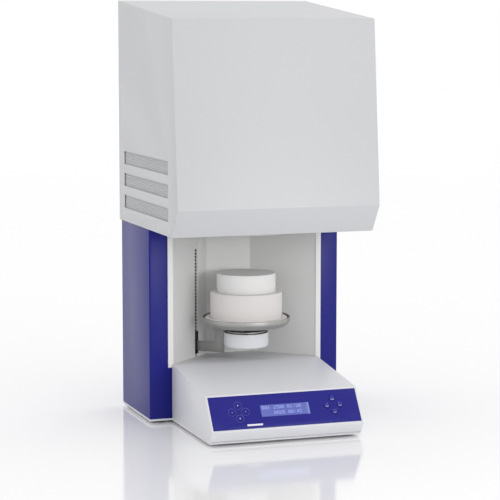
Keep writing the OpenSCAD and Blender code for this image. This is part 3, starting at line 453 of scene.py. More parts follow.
# the base's white paint is a lighter copy of the white powder coat: painted light, standing in for
# light the lamps don't bring to the base
BASE_PAINT_WITH_PAINTED_LIGHT = powder_coat("base_powder_coat", (0.735, 0.74, 0.77))
PALE_INK = lit_print("pale_blue_ink", (0.22, 0.24, 0.62))
LIT_DOTS = lit_print("lit_dots", (0.40, 0.50, 0.92), 0.30)
for name, node in frame["nodes"].items():
    node.data.materials.clear()
    node.data.materials.append(FINISHES[SLOT_OF[name]])


# ---- modelling ----

SMOOTH_ANGLE = 35
SHARE = 0.45


def pick(*pieces):
    """Selects these pieces and nothing else."""
    if bpy.context.object and bpy.context.object.mode != "OBJECT":
        bpy.ops.object.mode_set(mode="OBJECT")
    bpy.ops.object.select_all(action="DESELECT")
    for piece in pieces:
        piece.select_set(True)
    bpy.context.view_layer.objects.active = pieces[0] if pieces else None


def edit(piece):
    pick(piece)
    bpy.ops.object.mode_set(mode="EDIT")
    bpy.ops.mesh.select_all(action="SELECT")


def leave():
    bpy.ops.object.mode_set(mode="OBJECT")


def smooth(piece, angle):
    pick(piece)
    bpy.ops.object.shade_smooth_by_angle(angle=math.radians(angle))


def modify(piece, kind, **settings):
    """Adds a modifier and applies it."""
    modifier = piece.modifiers.new(kind.title(), kind)
    for setting, value in settings.items():
        setattr(modifier, setting, value)
    pick(piece)
    bpy.ops.object.modifier_apply(modifier=modifier.name)


def ease(piece, width, segments, angle):
    modify(piece, "BEVEL", width=width, segments=segments, limit_method="ANGLE",
           angle_limit=math.radians(angle), harden_normals=False)


def settled(piece):
    """Puts a piece's place and turn into its mesh, and leaves its object at the origin."""
    pick(piece)
    bpy.ops.object.transform_apply(location=True, rotation=True, scale=True)
    return piece


def block(low, high, ease_by=0.0, segments=2):
    """A rectangular piece between two corners, with its edges eased."""
    low, high = Vector(low), Vector(high)
    pick()
    bpy.ops.mesh.primitive_cube_add(size=1, location=(low + high) / 2, scale=high - low)
    piece = settled(bpy.context.object)
    if ease_by:
        edit(piece)
        bpy.ops.mesh.bevel(offset=ease_by, segments=segments)
        leave()
    return piece


def bar(start, end, radius, sides, ease_by):
    """A round bar from one point to another, with its ends eased."""
    start, end = Vector(start), Vector(end)
    run = end - start
    pick()
    bpy.ops.mesh.primitive_cylinder_add(vertices=sides, radius=radius, depth=run.length)
    piece = bpy.context.object
    ease(piece, ease_by, 2, 60)
    piece.matrix_world = (Matrix.Translation((start + end) / 2)
                          @ run.to_track_quat("Z", "Y").to_matrix().to_4x4())
    return settled(piece)


def hole(sides, radius):
    """A round hole's edge with a ring of faces on it that is still to be spread."""
    pick()
    bpy.ops.mesh.primitive_circle_add(vertices=sides, radius=radius)
    cell = bpy.context.object
    edit(cell)
    bpy.ops.mesh.extrude_edges_move(TRANSFORM_OT_translate={"value": (0, 0, 0)})
    leave()
    return cell


def tube(bore, radius, foot, top):
    """The closed profile of a tube, for a solid of revolution."""
    return [(bore, foot), (radius, foot), (radius, top), (bore, top), (bore, foot)]


def strung(points):
    """A piece that is only a chain of edges through these points."""
    pick()
    bpy.ops.mesh.primitive_plane_add(size=1)
    piece = bpy.context.object
    edit(piece)
    bpy.ops.mesh.merge(type="CENTER")
    bpy.ops.transform.translate(value=points[0])
    for before, after in zip(points, points[1:]):
        step = Vector(after) - Vector(before)
        bpy.ops.mesh.extrude_region_move(TRANSFORM_OT_translate={"value": step})
    leave()
    return piece


def turned(profile, steps=96):
    """A solid of revolution round Z from a profile of (radius, height), drawn bottom to top."""
    piece = strung([(radius, 0, height) for radius, height in profile])
    edit(piece)
    bpy.ops.mesh.spin(steps=steps, angle=2 * math.pi, center=(0, 0, 0), axis=(0, 0, 1))
    bpy.ops.mesh.select_all(action="SELECT")
    bpy.ops.mesh.remove_doubles(threshold=1e-6)
    bpy.ops.mesh.normals_make_consistent(inside=False)
    leave()
    return piece


def sheet(outline, thickness, low=0.0):
    """A flat plate from an outline of (x, y), with its underside at height low."""
    piece = strung([(x, y, low) for x, y in outline])
    edit(piece)
    bpy.ops.mesh.edge_face_add()
    bpy.ops.mesh.extrude_region_move(TRANSFORM_OT_translate={"value": (0, 0, thickness)})
    bpy.ops.mesh.select_all(action="SELECT")
    bpy.ops.mesh.normals_make_consistent(inside=False)
    leave()
    return piece


def moved(piece, matrix):
    piece.matrix_world = matrix @ piece.matrix_world
    return settled(piece)


def again(piece, matrix):
    """A copy of a piece, with its own mesh, in another place."""
    other = piece.copy()
    other.data = piece.data.copy()
    bpy.context.collection.objects.link(other)
    return moved(other, matrix)


def joined(*pieces):
    pick(*pieces)
    bpy.ops.object.join()
    return bpy.context.object


def round_profile(profile, radius, steps=4, corners=None):
    """Rounds a profile's inner corners, by no more than a share of the lines that meet there."""
    made = [profile[0]]
    for i in range(1, len(profile) - 1):
        a, b, c = (Vector(profile[j]) for j in (i - 1, i, i + 1))
        if corners is not None and i not in corners:
            made.append(tuple(b))
            continue
        cut = min(radius, (a - b).length * SHARE, (c - b).length * SHARE)
        start = b + (a - b).normalized() * cut
        end = b + (c - b).normalized() * cut
        for k in range(steps + 1):
            t = k / steps
            made.append(tuple(start * (1 - t) ** 2 + b * 2 * t * (1 - t) + end * t ** 2))
    made.append(profile[-1])
    return made


def copies(seed, places):
    """Copies of a piece at each of these places, as one piece, in the seed's stead."""
    made = [again(seed, place) for place in places]
    bpy.data.objects.remove(seed)
    return joined(*made)


def round_about(seed, count, start=0.0):
    """Copies of a piece at equal angles round Z, as one piece."""
    return copies(seed, [Matrix.Rotation(start + 2 * math.pi * i / count, 4, "Z")
                         for i in range(count)])


def finished(piece, name, node, finish=None, angle=SMOOTH_ANGLE):
    """Names a piece, gives it its finish, and lets it ride with the node's body."""
    piece.name = name
    piece.data.name = name
    piece.data.materials.clear()
    piece.data.materials.append(finish or FINISHES[SLOT_OF[node]])
    smooth(piece, angle)
    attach(piece, BODY_OF[node])


def stands_for(piece, name, node, finish=None, angle=SMOOTH_ANGLE):
    """Finishes a piece that takes the node's place."""
    finished(piece, name, node, finish, angle)
    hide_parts(node)


def own_shape(node, width, segments, angle):
    """A node's own shape, merged, with its sharp edges eased."""
    piece = bpy.data.objects.new(node, frame["nodes"][node].data.copy())
    bpy.context.collection.objects.link(piece)
    edit(piece)
    bpy.ops.mesh.customdata_custom_splitnormals_clear()
    bpy.ops.mesh.remove_doubles(threshold=2e-6)
    bpy.ops.mesh.dissolve_limited(angle_limit=math.radians(1.0))
    leave()
    ease(piece, width, segments, angle)
    return piece


def eased(node, width=0.5 * MM, segments=2, angle=40, finish=None):
    """Lets a node's own shape, with its edges eased, stand for the node."""
    stands_for(own_shape(node, width, segments, angle), node + "_eased", node, finish)


# ---- hood ----

SCREEN_PITCH = 3.2 * MM
SCREEN_HOLE = 0.95 * MM
SCREEN_SIDES = 8
SCREEN_T = 1.0 * MM
WASHER_APART = 8 * MM
SCREW_TURN = 37
BUFFER_R = 8 * MM


def perforated_cell():
    """One square of a perforated sheet, a ring of faces round its hole."""
    cell = hole(SCREEN_SIDES, SCREEN_HOLE)
    for vertex in cell.data.vertices:
        if vertex.index >= SCREEN_SIDES:
            vertex.co *= SCREEN_PITCH / 2 / max(abs(vertex.co.x), abs(vertex.co.y))
    return cell


def vent_screens():
    """Six perforated strips behind the openings in the hood's sides."""
    low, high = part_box("vent_screens")
    node = frame["nodes"]["vent_screens"].data
    levels = sorted({round(vertex.co.z, 5) for vertex in node.vertices})
    columns = round((high.y - low.y) / SCREEN_PITCH)
    for field, (bottom, top) in enumerate(zip(levels[0::2], levels[1::2])):
        rows = round((top - bottom) / SCREEN_PITCH)
        right = perforated_cell()
        for count, way in ((columns, (1, 0, 0)), (rows, (0, 1, 0))):
            modify(right, "ARRAY", count=count, relative_offset_displace=way,
                   use_merge_vertices=True, merge_threshold=1e-5)
        modify(right, "SOLIDIFY", thickness=SCREEN_T, offset=-1)
        start = Vector((high.x, low.y + SCREEN_PITCH / 2, bottom + SCREEN_PITCH / 2))
        moved(right, Matrix.Translation(start) @ Matrix.Rotation(math.radians(90), 4, "Z")
              @ Matrix.Rotation(math.radians(90), 4, "X"))
        left = again(right, Matrix.Translation((-2 * high.x + SCREEN_T, 0, 0)))
        first = stands_for if field == 0 else finished
        first(right, "vent_mesh_right_%d" % (field + 1), "vent_screens", angle=20)
        finished(left, "vent_mesh_left_%d" % (field + 1), "vent_screens", angle=20)


def cover_screws():
    """Socket button-head screws, each on a washer."""
    seat_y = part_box("cover_screws")[0].y
    dome = turned(mm((0, 0.7), (1.25, 0.7), (1.3, 1.9), (2.0, 1.8), (2.7, 1.35), (3.1, 0.7),
                     (3.1, 0.3), (4.4, 0.28), (4.5, 0), (0, 0)), 24)
    socket = turned(mm((0, 0.75), (1.2, 0.75), (1.2, 1.95), (0, 1.95)), 6)
    modify(dome, "BOOLEAN", operation="DIFFERENCE", object=socket, solver="EXACT")
    bpy.data.objects.remove(socket)
    seats = spots("cover_screws", WASHER_APART, (0, 2), lambda place: abs(place.y - seat_y) < 1e-6)
    heads = copies(dome, [facing_back(x, BACK_Y, z)
                          @ Matrix.Rotation(math.radians(SCREW_TURN * i), 4, "Z")
                          for i, (x, z) in enumerate(seats)])
    stands_for(heads, "button_screws", "cover_screws")


def wall_spacers():
    """Rubber buffers on the back, each with a waist, a soft rim and a recess for its screw."""
    low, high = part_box("wall_spacers")
    long = high.y - BACK_Y
    radius = BUFFER_R
    profile = round_profile([(0, 0), (radius, 0), (radius, long * 0.22),
                             (radius * 0.88, long * 0.32), (radius * 0.82, long),
                             (radius * 0.4, long), (radius * 0.38, long * 0.45),
                             (0, long * 0.45)], 0.8 * MM)
    buffers = copies(turned(profile, 40), [facing_back(x, BACK_Y, z)
                                           for x in (low.x + radius, high.x - radius)
                                           for z in (low.z + radius, high.z - radius)])
    stands_for(buffers, "wall_buffers", "wall_spacers")


# ---- base and control face ----

FOOT_R = 11 * MM
KEY_FOOT = -11
ARROW_HALF = 5.4 * MM
PRINT_UP = 0.18 * MM
DIGITS = {
    "0": ("01110", "10001", "10011", "10101", "11001", "10001", "01110"),
    "1": ("00100", "01100", "00100", "00100", "00100", "00100", "01110"),
    "2": ("01110", "10001", "00001", "00110", "01000", "10000", "11111"),
    "3": ("01110", "10001", "00001", "00110", "00001", "10001", "01110"),
    "4": ("00010", "00110", "01010", "10010", "11111", "00010", "00010"),
    "5": ("11111", "10000", "11110", "00001", "00001", "10001", "01110"),
    ":": ("00000", "00100", "00100", "00000", "00100", "00100", "00000"),
}
READOUT = ("001 1500 01:30", "    0020 00:45")
DOT = 0.62 * MM
DOT_STEP = 0.89 * MM
LINE_STEP = 10.2 * MM
TEXT_LEFT = -43 * MM
TEXT_TOP = 8.2 * MM
ROUND_KEYS = {"menu_key": WHITE_INK, "start_key": PALE_INK, "stop_key": WHITE_INK,
              "light_key": PALE_INK}
ARROW_KEYS = {"up_key": 0, "left_key": 90, "down_key": 180, "right_key": -90}


def feet():
    """Rubber feet with a hollow sole and a rounded rim, each on its bolt."""
    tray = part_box("base_tray")[0].z
    bolt, bolt_top = 3 * MM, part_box("feet")[1].z
    profile = round_profile([(0, 0.5 * MM), (FOOT_R * 0.45, 0.5 * MM), (FOOT_R * 0.5, 0),
                             (FOOT_R * 0.9, 0), (FOOT_R, tray), (bolt, tray),
                             (bolt, bolt_top), (0, bolt_top)], 0.7 * MM)
    made = copies(turned(profile, 40), [Matrix.Translation((x, y, 0))
                                        for x, y in spots("feet", 3 * FOOT_R, (0, 1))])
    stands_for(made, "rubber_feet", "feet")


def ring(radius, line, proud, sides=48):
    """A thin raised ring of print."""
    return turned(tube(radius - line, radius + line, 0, proud), sides)


def stroke(start, end, line, proud):
    """A straight raised line of print from one (x, y) to another."""
    start, end = Vector((*start, 0)), Vector((*end, 0))
    run = end - start
    piece = block((0, -line / 2, 0), (run.length, line / 2, proud))
    turn = Matrix.Rotation(math.atan2(run.y, run.x), 4, "Z")
    return moved(piece, Matrix.Translation(start) @ turn)


def round_key(node, ink):
    """A domed round key with a rim and a dot at its middle."""
    cap, skirt, stem = 5.95, 6.9, 2
    profile = round_profile(mm((0, 0.34), (3.4, 0.3), (4.6, 0.12), (5.2, 0.42), (cap, 0.3),
                               (cap, -0.9), (skirt, -0.92), (skirt, -2.0), (stem, -2.1),
                               (stem, KEY_FOOT), (0, KEY_FOOT)), 0.25 * MM, 3)
    stands_for(moved(turned(profile, 64), on_film(node)), node + "_cap", node)
    dot = turned(mm((0, 0.3), (1.0, 0.3), (0.95, 0.46), (0.6, 0.52), (0, 0.54)), 24)
    finished(moved(dot, on_film(node)), node + "_dot", node, ink)


def arrow_key(node, turn):
    """A diamond-shaped key with a printed triangle that points its way."""
    here = on_film(node)
    half = ARROW_HALF * math.sqrt(2) - 0.06 * MM
    diamond = [(half, 0), (0, half), (-half, 0), (0, -half)]
    cap = sheet(diamond, 1.05 * MM, -0.85 * MM)
    edit(cap)
    bpy.ops.mesh.bevel(offset=0.18 * MM, segments=3)
    leave()
    skirt = sheet([(x * 1.15, y * 1.15) for x, y in diamond], 1.1 * MM, -2.0 * MM)
    stem = bar((0, 0, KEY_FOOT * MM), (0, 0, -1.9 * MM), 2 * MM, 32, 0.2 * MM)
    stands_for(moved(joined(cap, skirt, stem), here), node + "_cap", node)
    tip, foot, wide = 3.6 * MM, -1.9 * MM, 3.5 * MM
    corners = [(0, tip), (-wide, foot), (wide, foot)]
    lines = [stroke(corners[i], corners[i - 1], 0.34 * MM, 0.12 * MM) for i in range(3)]
    lift = Matrix.Translation((0, 0, PRINT_UP))
    spin = lift @ Matrix.Rotation(math.radians(turn), 4, "Z")
    outline = joined(*[moved(line, spin) for line in lines])
    finished(moved(outline, here), node + "_outline", node, PALE_INK)
    under = stroke((-wide * 0.9, -3.1 * MM), (wide * 0.9, -3.1 * MM), 0.5 * MM, 0.14 * MM)
    finished(moved(under, here @ lift), node + "_line", node, WHITE_INK)


def panel_print():
    """Rings round the keys, and a plain white bar."""
    proud = 0.1 * MM
    rings = [moved(ring(7 * MM, 0.12 * MM, proud), on_film(node)) for node in ROUND_KEYS]
    finished(joined(*rings), "key_rings", "control_panel", PALE_INK)
    bar_low, bar_high = mm((-76, -27), (-47, -23.6))
    plain_bar = block((*bar_low, FILM_T), (*bar_high, FILM_T + proud), 0.04 * MM, 1)
    finished(moved(plain_bar, AT_PANEL), "plain_white_bar", "control_panel", WHITE_INK)


def display():
    """The display: a glass window in a moulded frame, with a dot-matrix readout in it."""
    glass_z = FILM_T - 0.2 * MM
    half_w, half_h = LCD_W / 2 - 0.15 * MM, LCD_H / 2 - 0.15 * MM
    glass = block((-half_w, -half_h, -2 * MM), (half_w, half_h, glass_z), 0.25 * MM)
    stands_for(moved(glass, AT_PANEL), "display_window", "lcd_display")
    wide, tall, deep = half_w + 3.8 * MM, half_h + 2.8 * MM, 12 * MM
    housing = block((-wide, -tall, -deep), (wide, tall, -2.05 * MM), 0.8 * MM)
    finished(moved(housing, AT_PANEL), "display_housing", "lcd_display",
             FINISHES["black_plastic"])
    seed = block((0, 0, 0), (DOT, DOT, 0.06 * MM))
    places = []
    for line, text in enumerate(READOUT):
        for place, character in enumerate(text):
            for down, pattern in enumerate(DIGITS.get(character, ())):
                for across, lit in enumerate(pattern):
                    if lit == "1":
                        x = TEXT_LEFT + (place * 6 + across) * DOT_STEP
                        y = TEXT_TOP - line * LINE_STEP - down * DOT_STEP
                        places.append(Matrix.Translation((x, y, glass_z)))
    finished(moved(copies(seed, places), AT_PANEL), "display_digits", "lcd_display",
             LIT_DOTS, angle=5)


# ---- lift ----

BAND_W = 12 * MM
BAND_T = 0.6 * MM
BAND_PITCH = 6.35 * MM
HOLE_W = 9 * MM
HOLE_H = 3.9 * MM
HOLE_SIDES = 16
DRUM_TEETH = 12


def band_cell():
    """One pitch of the band: a ring of faces between an oblong hole and the band's edges."""
    cell = hole(HOLE_SIDES, HOLE_H / 2)
    half_w, half_h = BAND_W / 2, BAND_PITCH / 2
    for vertex in cell.data.vertices:
        side = 1 if vertex.co.x > 1e-6 else (-1 if vertex.co.x < -1e-6 else 0)
        if vertex.index < HOLE_SIDES:
            vertex.co.x += side * (HOLE_W - HOLE_H) / 2
            continue
        angle = math.atan2(vertex.co.y, vertex.co.x)
        reach = max(abs(math.cos(angle)) / half_w, abs(math.sin(angle)) / half_h)
        x, y = math.cos(angle) / reach, math.sin(angle) / reach
        if abs(x) > half_w * 0.98 and abs(y) > half_h * 0.6:
            y = math.copysign(half_h, y)
        vertex.co = (x, y, 0)
    return cell


def lift_band():
    """The lift's enamelled steel band, one oblong hole at every pitch, run round both drums."""
    local = AT_LIFT.inverted()
    run = (local @ middle("idler_drum") - local @ middle("drive_drum")).z
    drum_r = DRUM_TEETH * BAND_PITCH / (2 * math.pi)
    turn = math.pi * drum_r
    hub_x = (local @ Vector(JOINTS["idler_drum_turn"]["pos_m"])).x
    low_z = JOINTS["drive_drum_turn"]["pos_m"][2]
    band = band_cell()
    modify(band, "ARRAY", count=round(2 * (run + turn) / BAND_PITCH), use_relative_offset=False,
           use_constant_offset=True, constant_offset_displace=(0, BAND_PITCH, 0),
           use_merge_vertices=True, merge_threshold=1e-5)
    for vertex in band.data.vertices:
        across, along = vertex.co.x, vertex.co.y
        if along < run:
            x, z = hub_x - drum_r, low_z + along
        elif along < run + turn:
            a = (along - run) / drum_r
            x, z = hub_x - drum_r * math.cos(a), low_z + run + drum_r * math.sin(a)
        elif along < 2 * run + turn:
            x, z = hub_x + drum_r, low_z + 2 * run + turn - along
        else:
            a = (along - 2 * run - turn) / drum_r
            x, z = hub_x + drum_r * math.cos(a), low_z - drum_r * math.sin(a)
        vertex.co = (x, across, z)
    edit(band)
    bpy.ops.mesh.remove_doubles(threshold=2e-5)
    bpy.ops.mesh.normals_make_consistent(inside=False)
    leave()
    modify(band, "SOLIDIFY", thickness=BAND_T, offset=0)
    stands_for(moved(band, AT_LIFT), "perforated_band", "lift_band", angle=30)


def stack():
    """The round parts on the lift: cap, pan, ring, plug and hearth."""
    wall = 2 * MM
    radius, foot, top = round_part("hub_cap")
    profile = round_profile([(0, foot), (radius, foot), (radius, top), (radius - wall, top),
                             (radius - wall, foot + wall), (0, foot + wall)],
                            6.5 * MM, 8, corners=[1])
    profile = round_profile(profile, 0.6 * MM, 3, corners=[len(profile) - 4, len(profile) - 3])
    stands_for(moved(turned(profile), AT_AXIS), "enamelled_cap", "hub_cap")

    gauge = 1.6 * MM
    radius, foot, top = round_part("lift_pan")
    lip = top - 0.9 * MM
    outer = [(0, foot), (radius - 7.5 * MM, foot), (radius, foot + 9 * MM), (radius, lip)]
    inner = [(radius - gauge, lip), (radius - gauge, foot + 9.6 * MM),
             (radius - 8.2 * MM, foot + gauge), (0, foot + gauge)]
    rim = [(radius - gauge / 2 + gauge * 0.62 * math.cos(a), lip + gauge * 0.56 * math.sin(a))
           for a in (math.radians(d) for d in range(0, 181, 30))]
    start = len(outer + rim)
    profile = round_profile(outer + rim + inner, 4 * MM, 6, corners=[1, 2, start + 1, start + 2])
    stands_for(moved(turned(profile, 128), AT_AXIS), "spun_pan", "lift_pan")

    radius, foot, top = round_part("pan_gasket")
    bore = round_part("hearth_plug")[0] + 0.4 * MM
    profile = round_profile(tube(bore, radius, foot, top), 1.6 * MM)
    stands_for(moved(turned(profile), AT_AXIS), "fibre_ring", "pan_gasket")

    for node, name, foot_round, top_round in (("hearth_plug", "plug_block", 5, 1.2),
                                              ("hearth_block", "hearth_block_top", 1, 1.0)):
        radius, foot, top = round_part(node)
        profile = round_profile([(0, foot), (radius, foot), (radius, top), (0, top)],
                                foot_round * MM, 6, corners=[1])
        profile = round_profile(profile, top_round * MM, corners=[len(profile) - 2])
        stands_for(moved(turned(profile, 128), AT_AXIS), name, node)


# ---- back of the kiln ----

FAN_R = 38 * MM
FAN_HUB = 16 * MM
FAN_D = 25 * MM
FAN_BOLT = 35.75 * MM * math.sqrt(2)
FAN_BLADES = 7
ROOT_PITCH, TIP_PITCH = 46, 30
ROOT_CHORD, TIP_CHORD = 15 * MM, 24 * MM
BLADE_T = 1.1 * MM
BLADE_SWEEP = 0.30
BLADE_CAMBER = 4 * MM
BLADE_MIDDLE = 0.56
BLADE_DEPTH = 0.82
WIRE = 0.95 * MM
SWITCHED_ON = 8
MARK_Y = 6.0


def loop(radius, wire, height, steps=96):
    """A closed ring of round wire lying in a plane at this height."""
    pick()
    bpy.ops.mesh.primitive_torus_add(major_radius=radius, minor_radius=wire, major_segments=steps,
                                     minor_segments=12, location=(0, 0, height))
    return settled(bpy.context.object)


def fan_blade():
    """One cambered blade, twisted and swept from the hub to its tip."""
    pick()
    bpy.ops.mesh.primitive_grid_add(x_subdivisions=12, y_subdivisions=10, size=1)
    blade = bpy.context.object
    root, tip = FAN_HUB - 1 * MM, FAN_R - 1.0 * MM
    for vertex in blade.data.vertices:
        out, chord = vertex.co.x + 0.5, vertex.co.y
        radius = root + (tip - root) * out
        pitch = math.radians(ROOT_PITCH + (TIP_PITCH - ROOT_PITCH) * out)
        across = chord * (ROOT_CHORD + (TIP_CHORD - ROOT_CHORD) * out)
        camber = (0.25 - chord * chord) * BLADE_CAMBER
        turn = across * math.cos(pitch) / radius + BLADE_SWEEP * out
        vertex.co = (radius * math.cos(turn), radius * math.sin(turn),
                     FAN_D * BLADE_MIDDLE + across * math.sin(pitch) * BLADE_DEPTH + camber)
    modify(blade, "SOLIDIFY", thickness=BLADE_T, offset=0)
    ease(blade, 0.25 * MM, 2, 50)
    return blade


def cooling_fan():
    """The fan in the hood's back: frame, swept blades, and a guard of welded wire."""
    centre = middle("fan_guard")
    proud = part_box("fan_guard")[1].y - BACK_Y
    diagonal = math.radians(45)
    rings = [loop(radius * MM, WIRE, proud - WIRE) for radius in range(8, 37, 7)]
    height = proud - 2.6 * WIRE
    spokes = round_about(bar((7 * MM, 0, height), (FAN_BOLT - 4 * MM, 0, height), WIRE, 12,
                             0.2 * MM), 4, diagonal)
    eye = turned(round_profile(tube(2.2 * MM, 4 * MM, 0, proud), 0.6 * MM), 32)
    eyes = round_about(moved(eye, Matrix.Translation((FAN_BOLT, 0, 0))), 4, diagonal)
    stands_for(moved(joined(*rings, spokes, eyes), facing_back(centre.x, BACK_Y, centre.z)),
               "wire_guard", "fan_guard")

    bore, boss = 2.1 * MM, 3 * MM
    hub = turned(round_profile([(bore, FAN_D * 0.18), (FAN_HUB, FAN_D * 0.18),
                                (FAN_HUB, FAN_D * 0.94), (boss, FAN_D * 0.94),
                                (bore, FAN_D * 0.68), (bore, FAN_D * 0.18)], 1.2 * MM), 64)
    inside = facing_back(centre.x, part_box("fan_frame")[0].y, centre.z)
    wheel = joined(hub, round_about(fan_blade(), FAN_BLADES))
    stands_for(moved(wheel, inside), "fan_wheel", "fan_rotor")
    eased("fan_frame", 0.7 * MM, 3)


def mains_inlet():
    """The appliance socket and its rocker: a rounded plate on two screws, with flat pins."""
    eased("mains_inlet", 0.5 * MM, 3)
    low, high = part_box("mains_inlet")
    x = middle("mains_inlet").x
    head = turned(round_profile(mm((0, -0.2), (1.9, -0.2), (1.9, 0.35), (0, 0.7)), 0.3 * MM), 24)
    screws = copies(head, [facing_back(x, high.y, z)
                           for z in (low.z + 2.6 * MM, high.z - 2.6 * MM)])
    finished(screws, "inlet_screws", "mains_inlet", FINISHES["steel"])
    stands_for(own_shape("power_switch", 0.9 * MM, 4, 40), "rocker_cap", "power_switch")
    line = block(*mm((-0.5, MARK_Y, 3.0), (0.5, MARK_Y + 0.12, 6.0)), 0.03 * MM, 1)
    circle = moved(ring(1.6 * MM, 0.3 * MM, 0.12 * MM, 32),
                   facing_back(0, MARK_Y * MM, -4.6 * MM))
    pivot = Vector(JOINTS["rocker_tilt"]["pos_m"])
    here = (Matrix.Translation((x, pivot.y, pivot.z))
            @ Matrix.Rotation(math.radians(SWITCHED_ON), 4, "X"))
    finished(moved(joined(line, circle), here), "rocker_marks", "power_switch", WHITE_INK)


# ---- chamber and its wiring ----

def elements():
    """Four U-shaped heating rods: a thin hot loop, thick terminals with a bright sprayed tip."""
    low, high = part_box("heating_elements")
    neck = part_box("chamber_roof")[0].z + 6 * MM
    sleeve_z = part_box("casing_lid")[1].z + 20 * MM
    ring_r, bend, hot, cold = 62 * MM, 12 * MM, 2.9 * MM, 6 * MM
    foot = low.z + hot + bend
    legs_at = [Matrix.Translation((ring_r, side * bend, 0)) for side in (-1, 1)]
    pick()
    bpy.ops.mesh.primitive_torus_add(major_radius=bend, minor_radius=hot, major_segments=48,
                                     minor_segments=20, rotation=(0, math.radians(90), 0),
                                     location=(ring_r, 0, foot))
    elbow = settled(bpy.context.object)
    edit(elbow)
    bpy.ops.mesh.bisect(plane_co=(0, 0, foot), plane_no=(0, 0, 1), clear_outer=True)
    leave()
    profile = [(0, foot), (hot, foot), (hot, neck - 6 * MM), (cold, neck + 4 * MM),
               (cold, high.z - 0.5 * MM), (0, high.z)]
    legs = copies(turned(round_profile(profile, 1 * MM, 3, corners=[2, 3]), 24), legs_at)
    rods = round_about(joined(elbow, legs), 4, math.radians(45))
    stands_for(moved(rods, AT_AXIS), "heating_rods", "heating_elements")
    sleeve = turned(round_profile(tube(cold + 0.02 * MM, cold + 0.08 * MM, sleeve_z,
                                       high.z - 1 * MM), 0.02 * MM, 2), 24)
    tips = round_about(copies(sleeve, legs_at), 4, math.radians(45))
    finished(moved(tips, AT_AXIS), "rod_tips", "heating_elements", FINISHES["braid"])


def thermocouple():
    """A ceramic sheath under a ribbed terminal head with a cable gland."""
    low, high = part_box("thermocouple")
    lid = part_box("casing_lid")[1].z
    body = high.z - 22 * MM
    sheath, collar, neck, head = 4 * MM, 9 * MM, 12 * MM, 15 * MM
    profile = [(0, low.z), (sheath, low.z), (sheath, lid), (collar, lid), (collar, lid + 8 * MM),
               (sheath, lid + 8 * MM), (sheath, body), (neck, body), (head, body + 4 * MM)]
    for rib in range(3):
        profile += [(head - inset * MM, body + (5 + 4 * rib + up) * MM)
                    for inset, up in ((0, 0), (0.8, 1), (0.8, 2), (0, 3))]
    profile += [(head, body + 18 * MM), (neck, body + 18 * MM), (neck, high.z - 1 * MM),
                (neck - 1 * MM, high.z), (0, high.z)]
    probe = turned(round_profile(profile, 0.6 * MM, 2), 48)
    stands_for(moved(probe, AT_AXIS), "probe", "thermocouple")
    gland = turned(mm((0, 13), (4.5, 13), (4.5, 19), (5, 19.5), (5, 24), (2.4, 25), (0, 25)), 6)
    across = (Matrix.Translation((0, 0, body + 9 * MM))
              @ Matrix.Rotation(math.radians(90), 4, "Y"))
    finished(moved(gland, AT_AXIS @ across), "cable_gland", "thermocouple",
             FINISHES["black_plastic"])


# ---- power supply and lift drive ----

NUT_INSET = 6 * MM
TAPE_OFF = 14 * MM
BOARD_Z = -14
LEG_STEP = 2.4
LEG_W, LEG_LONG = 0.9, 1.6
SMALL_PARTS = 14
SMALL_W, SMALL_H = 3.2, 1.6
CHIPS = ((-38, -14, -9, 15), (10, 34, -7, 7))


def transformer():
    """Stacked laminations with clamping nuts, and windings held by tape."""
    eased("transformer_core", 0.3 * MM, 2)
    low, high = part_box("transformer_core")
    nut = turned(mm((0, 0), (4.2, 0), (4.2, 3), (3.4, 3.5), (0, 3.5)), 6)
    nuts = copies(nut, [Matrix.Translation((x, y, z))
                        @ Matrix.Rotation(math.radians(-90 * side), 4, "X")
                        for x in (low.x + NUT_INSET, high.x - NUT_INSET)
                        for z in (low.z + NUT_INSET, high.z - NUT_INSET)
                        for side, y in ((-1, low.y), (1, high.y))])
    finished(nuts, "clamping_nuts", "transformer_core", FINISHES["steel"])
    eased("transformer_coils", 2.0 * MM, 4, 60)
    centre = middle("transformer_core")
    coil_low, coil_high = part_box("transformer_coils")
    half_w, half_h, over, under = 17 * MM, 5 * MM, 0.12 * MM, 1 * MM
    tape = [block((centre.x - half_w, y_low, z - half_h), (centre.x + half_w, y_high, z + half_h),
                  0.1 * MM, 1)
            for z in (centre.z - TAPE_OFF, centre.z + TAPE_OFF)
            for y_low, y_high in ((coil_low.y - over, coil_low.y + under),
                                  (coil_high.y - under, coil_high.y + over))]
    finished(joined(*tape), "winding_tape", "transformer_coils", FINISHES["holder"])


def circuit_parts():
    """The control board with legged chips and small parts."""
    eased("control_board", 0.25 * MM, 2)
    over = BOARD_Z - 0.02
    legs = []
    for left, right, low, high in CHIPS:
        for k in range(int((right - left) / LEG_STEP)):
            x = left + 1.3 + LEG_STEP * k
            for y in (low - LEG_LONG, high):
                legs.append(block(*mm((x, y, BOARD_Z - 0.35),
                                      (x + LEG_W, y + LEG_LONG, over)), 0.08 * MM, 1))
    finished(moved(joined(*legs), AT_PANEL), "chip_legs", "control_board", FINISHES["steel"])
    small = []
    for k in range(SMALL_PARTS):
        x, y = -80 + 11.3 * k, -19 + 3 * (k % 3)
        small.append(block(*mm((x, y, BOARD_Z - 1.1), (x + SMALL_W, y + SMALL_H, over)),
                           0.15 * MM, 1))
    finished(moved(joined(*small), AT_PANEL), "small_parts", "control_board",
             FINISHES["black_plastic"])


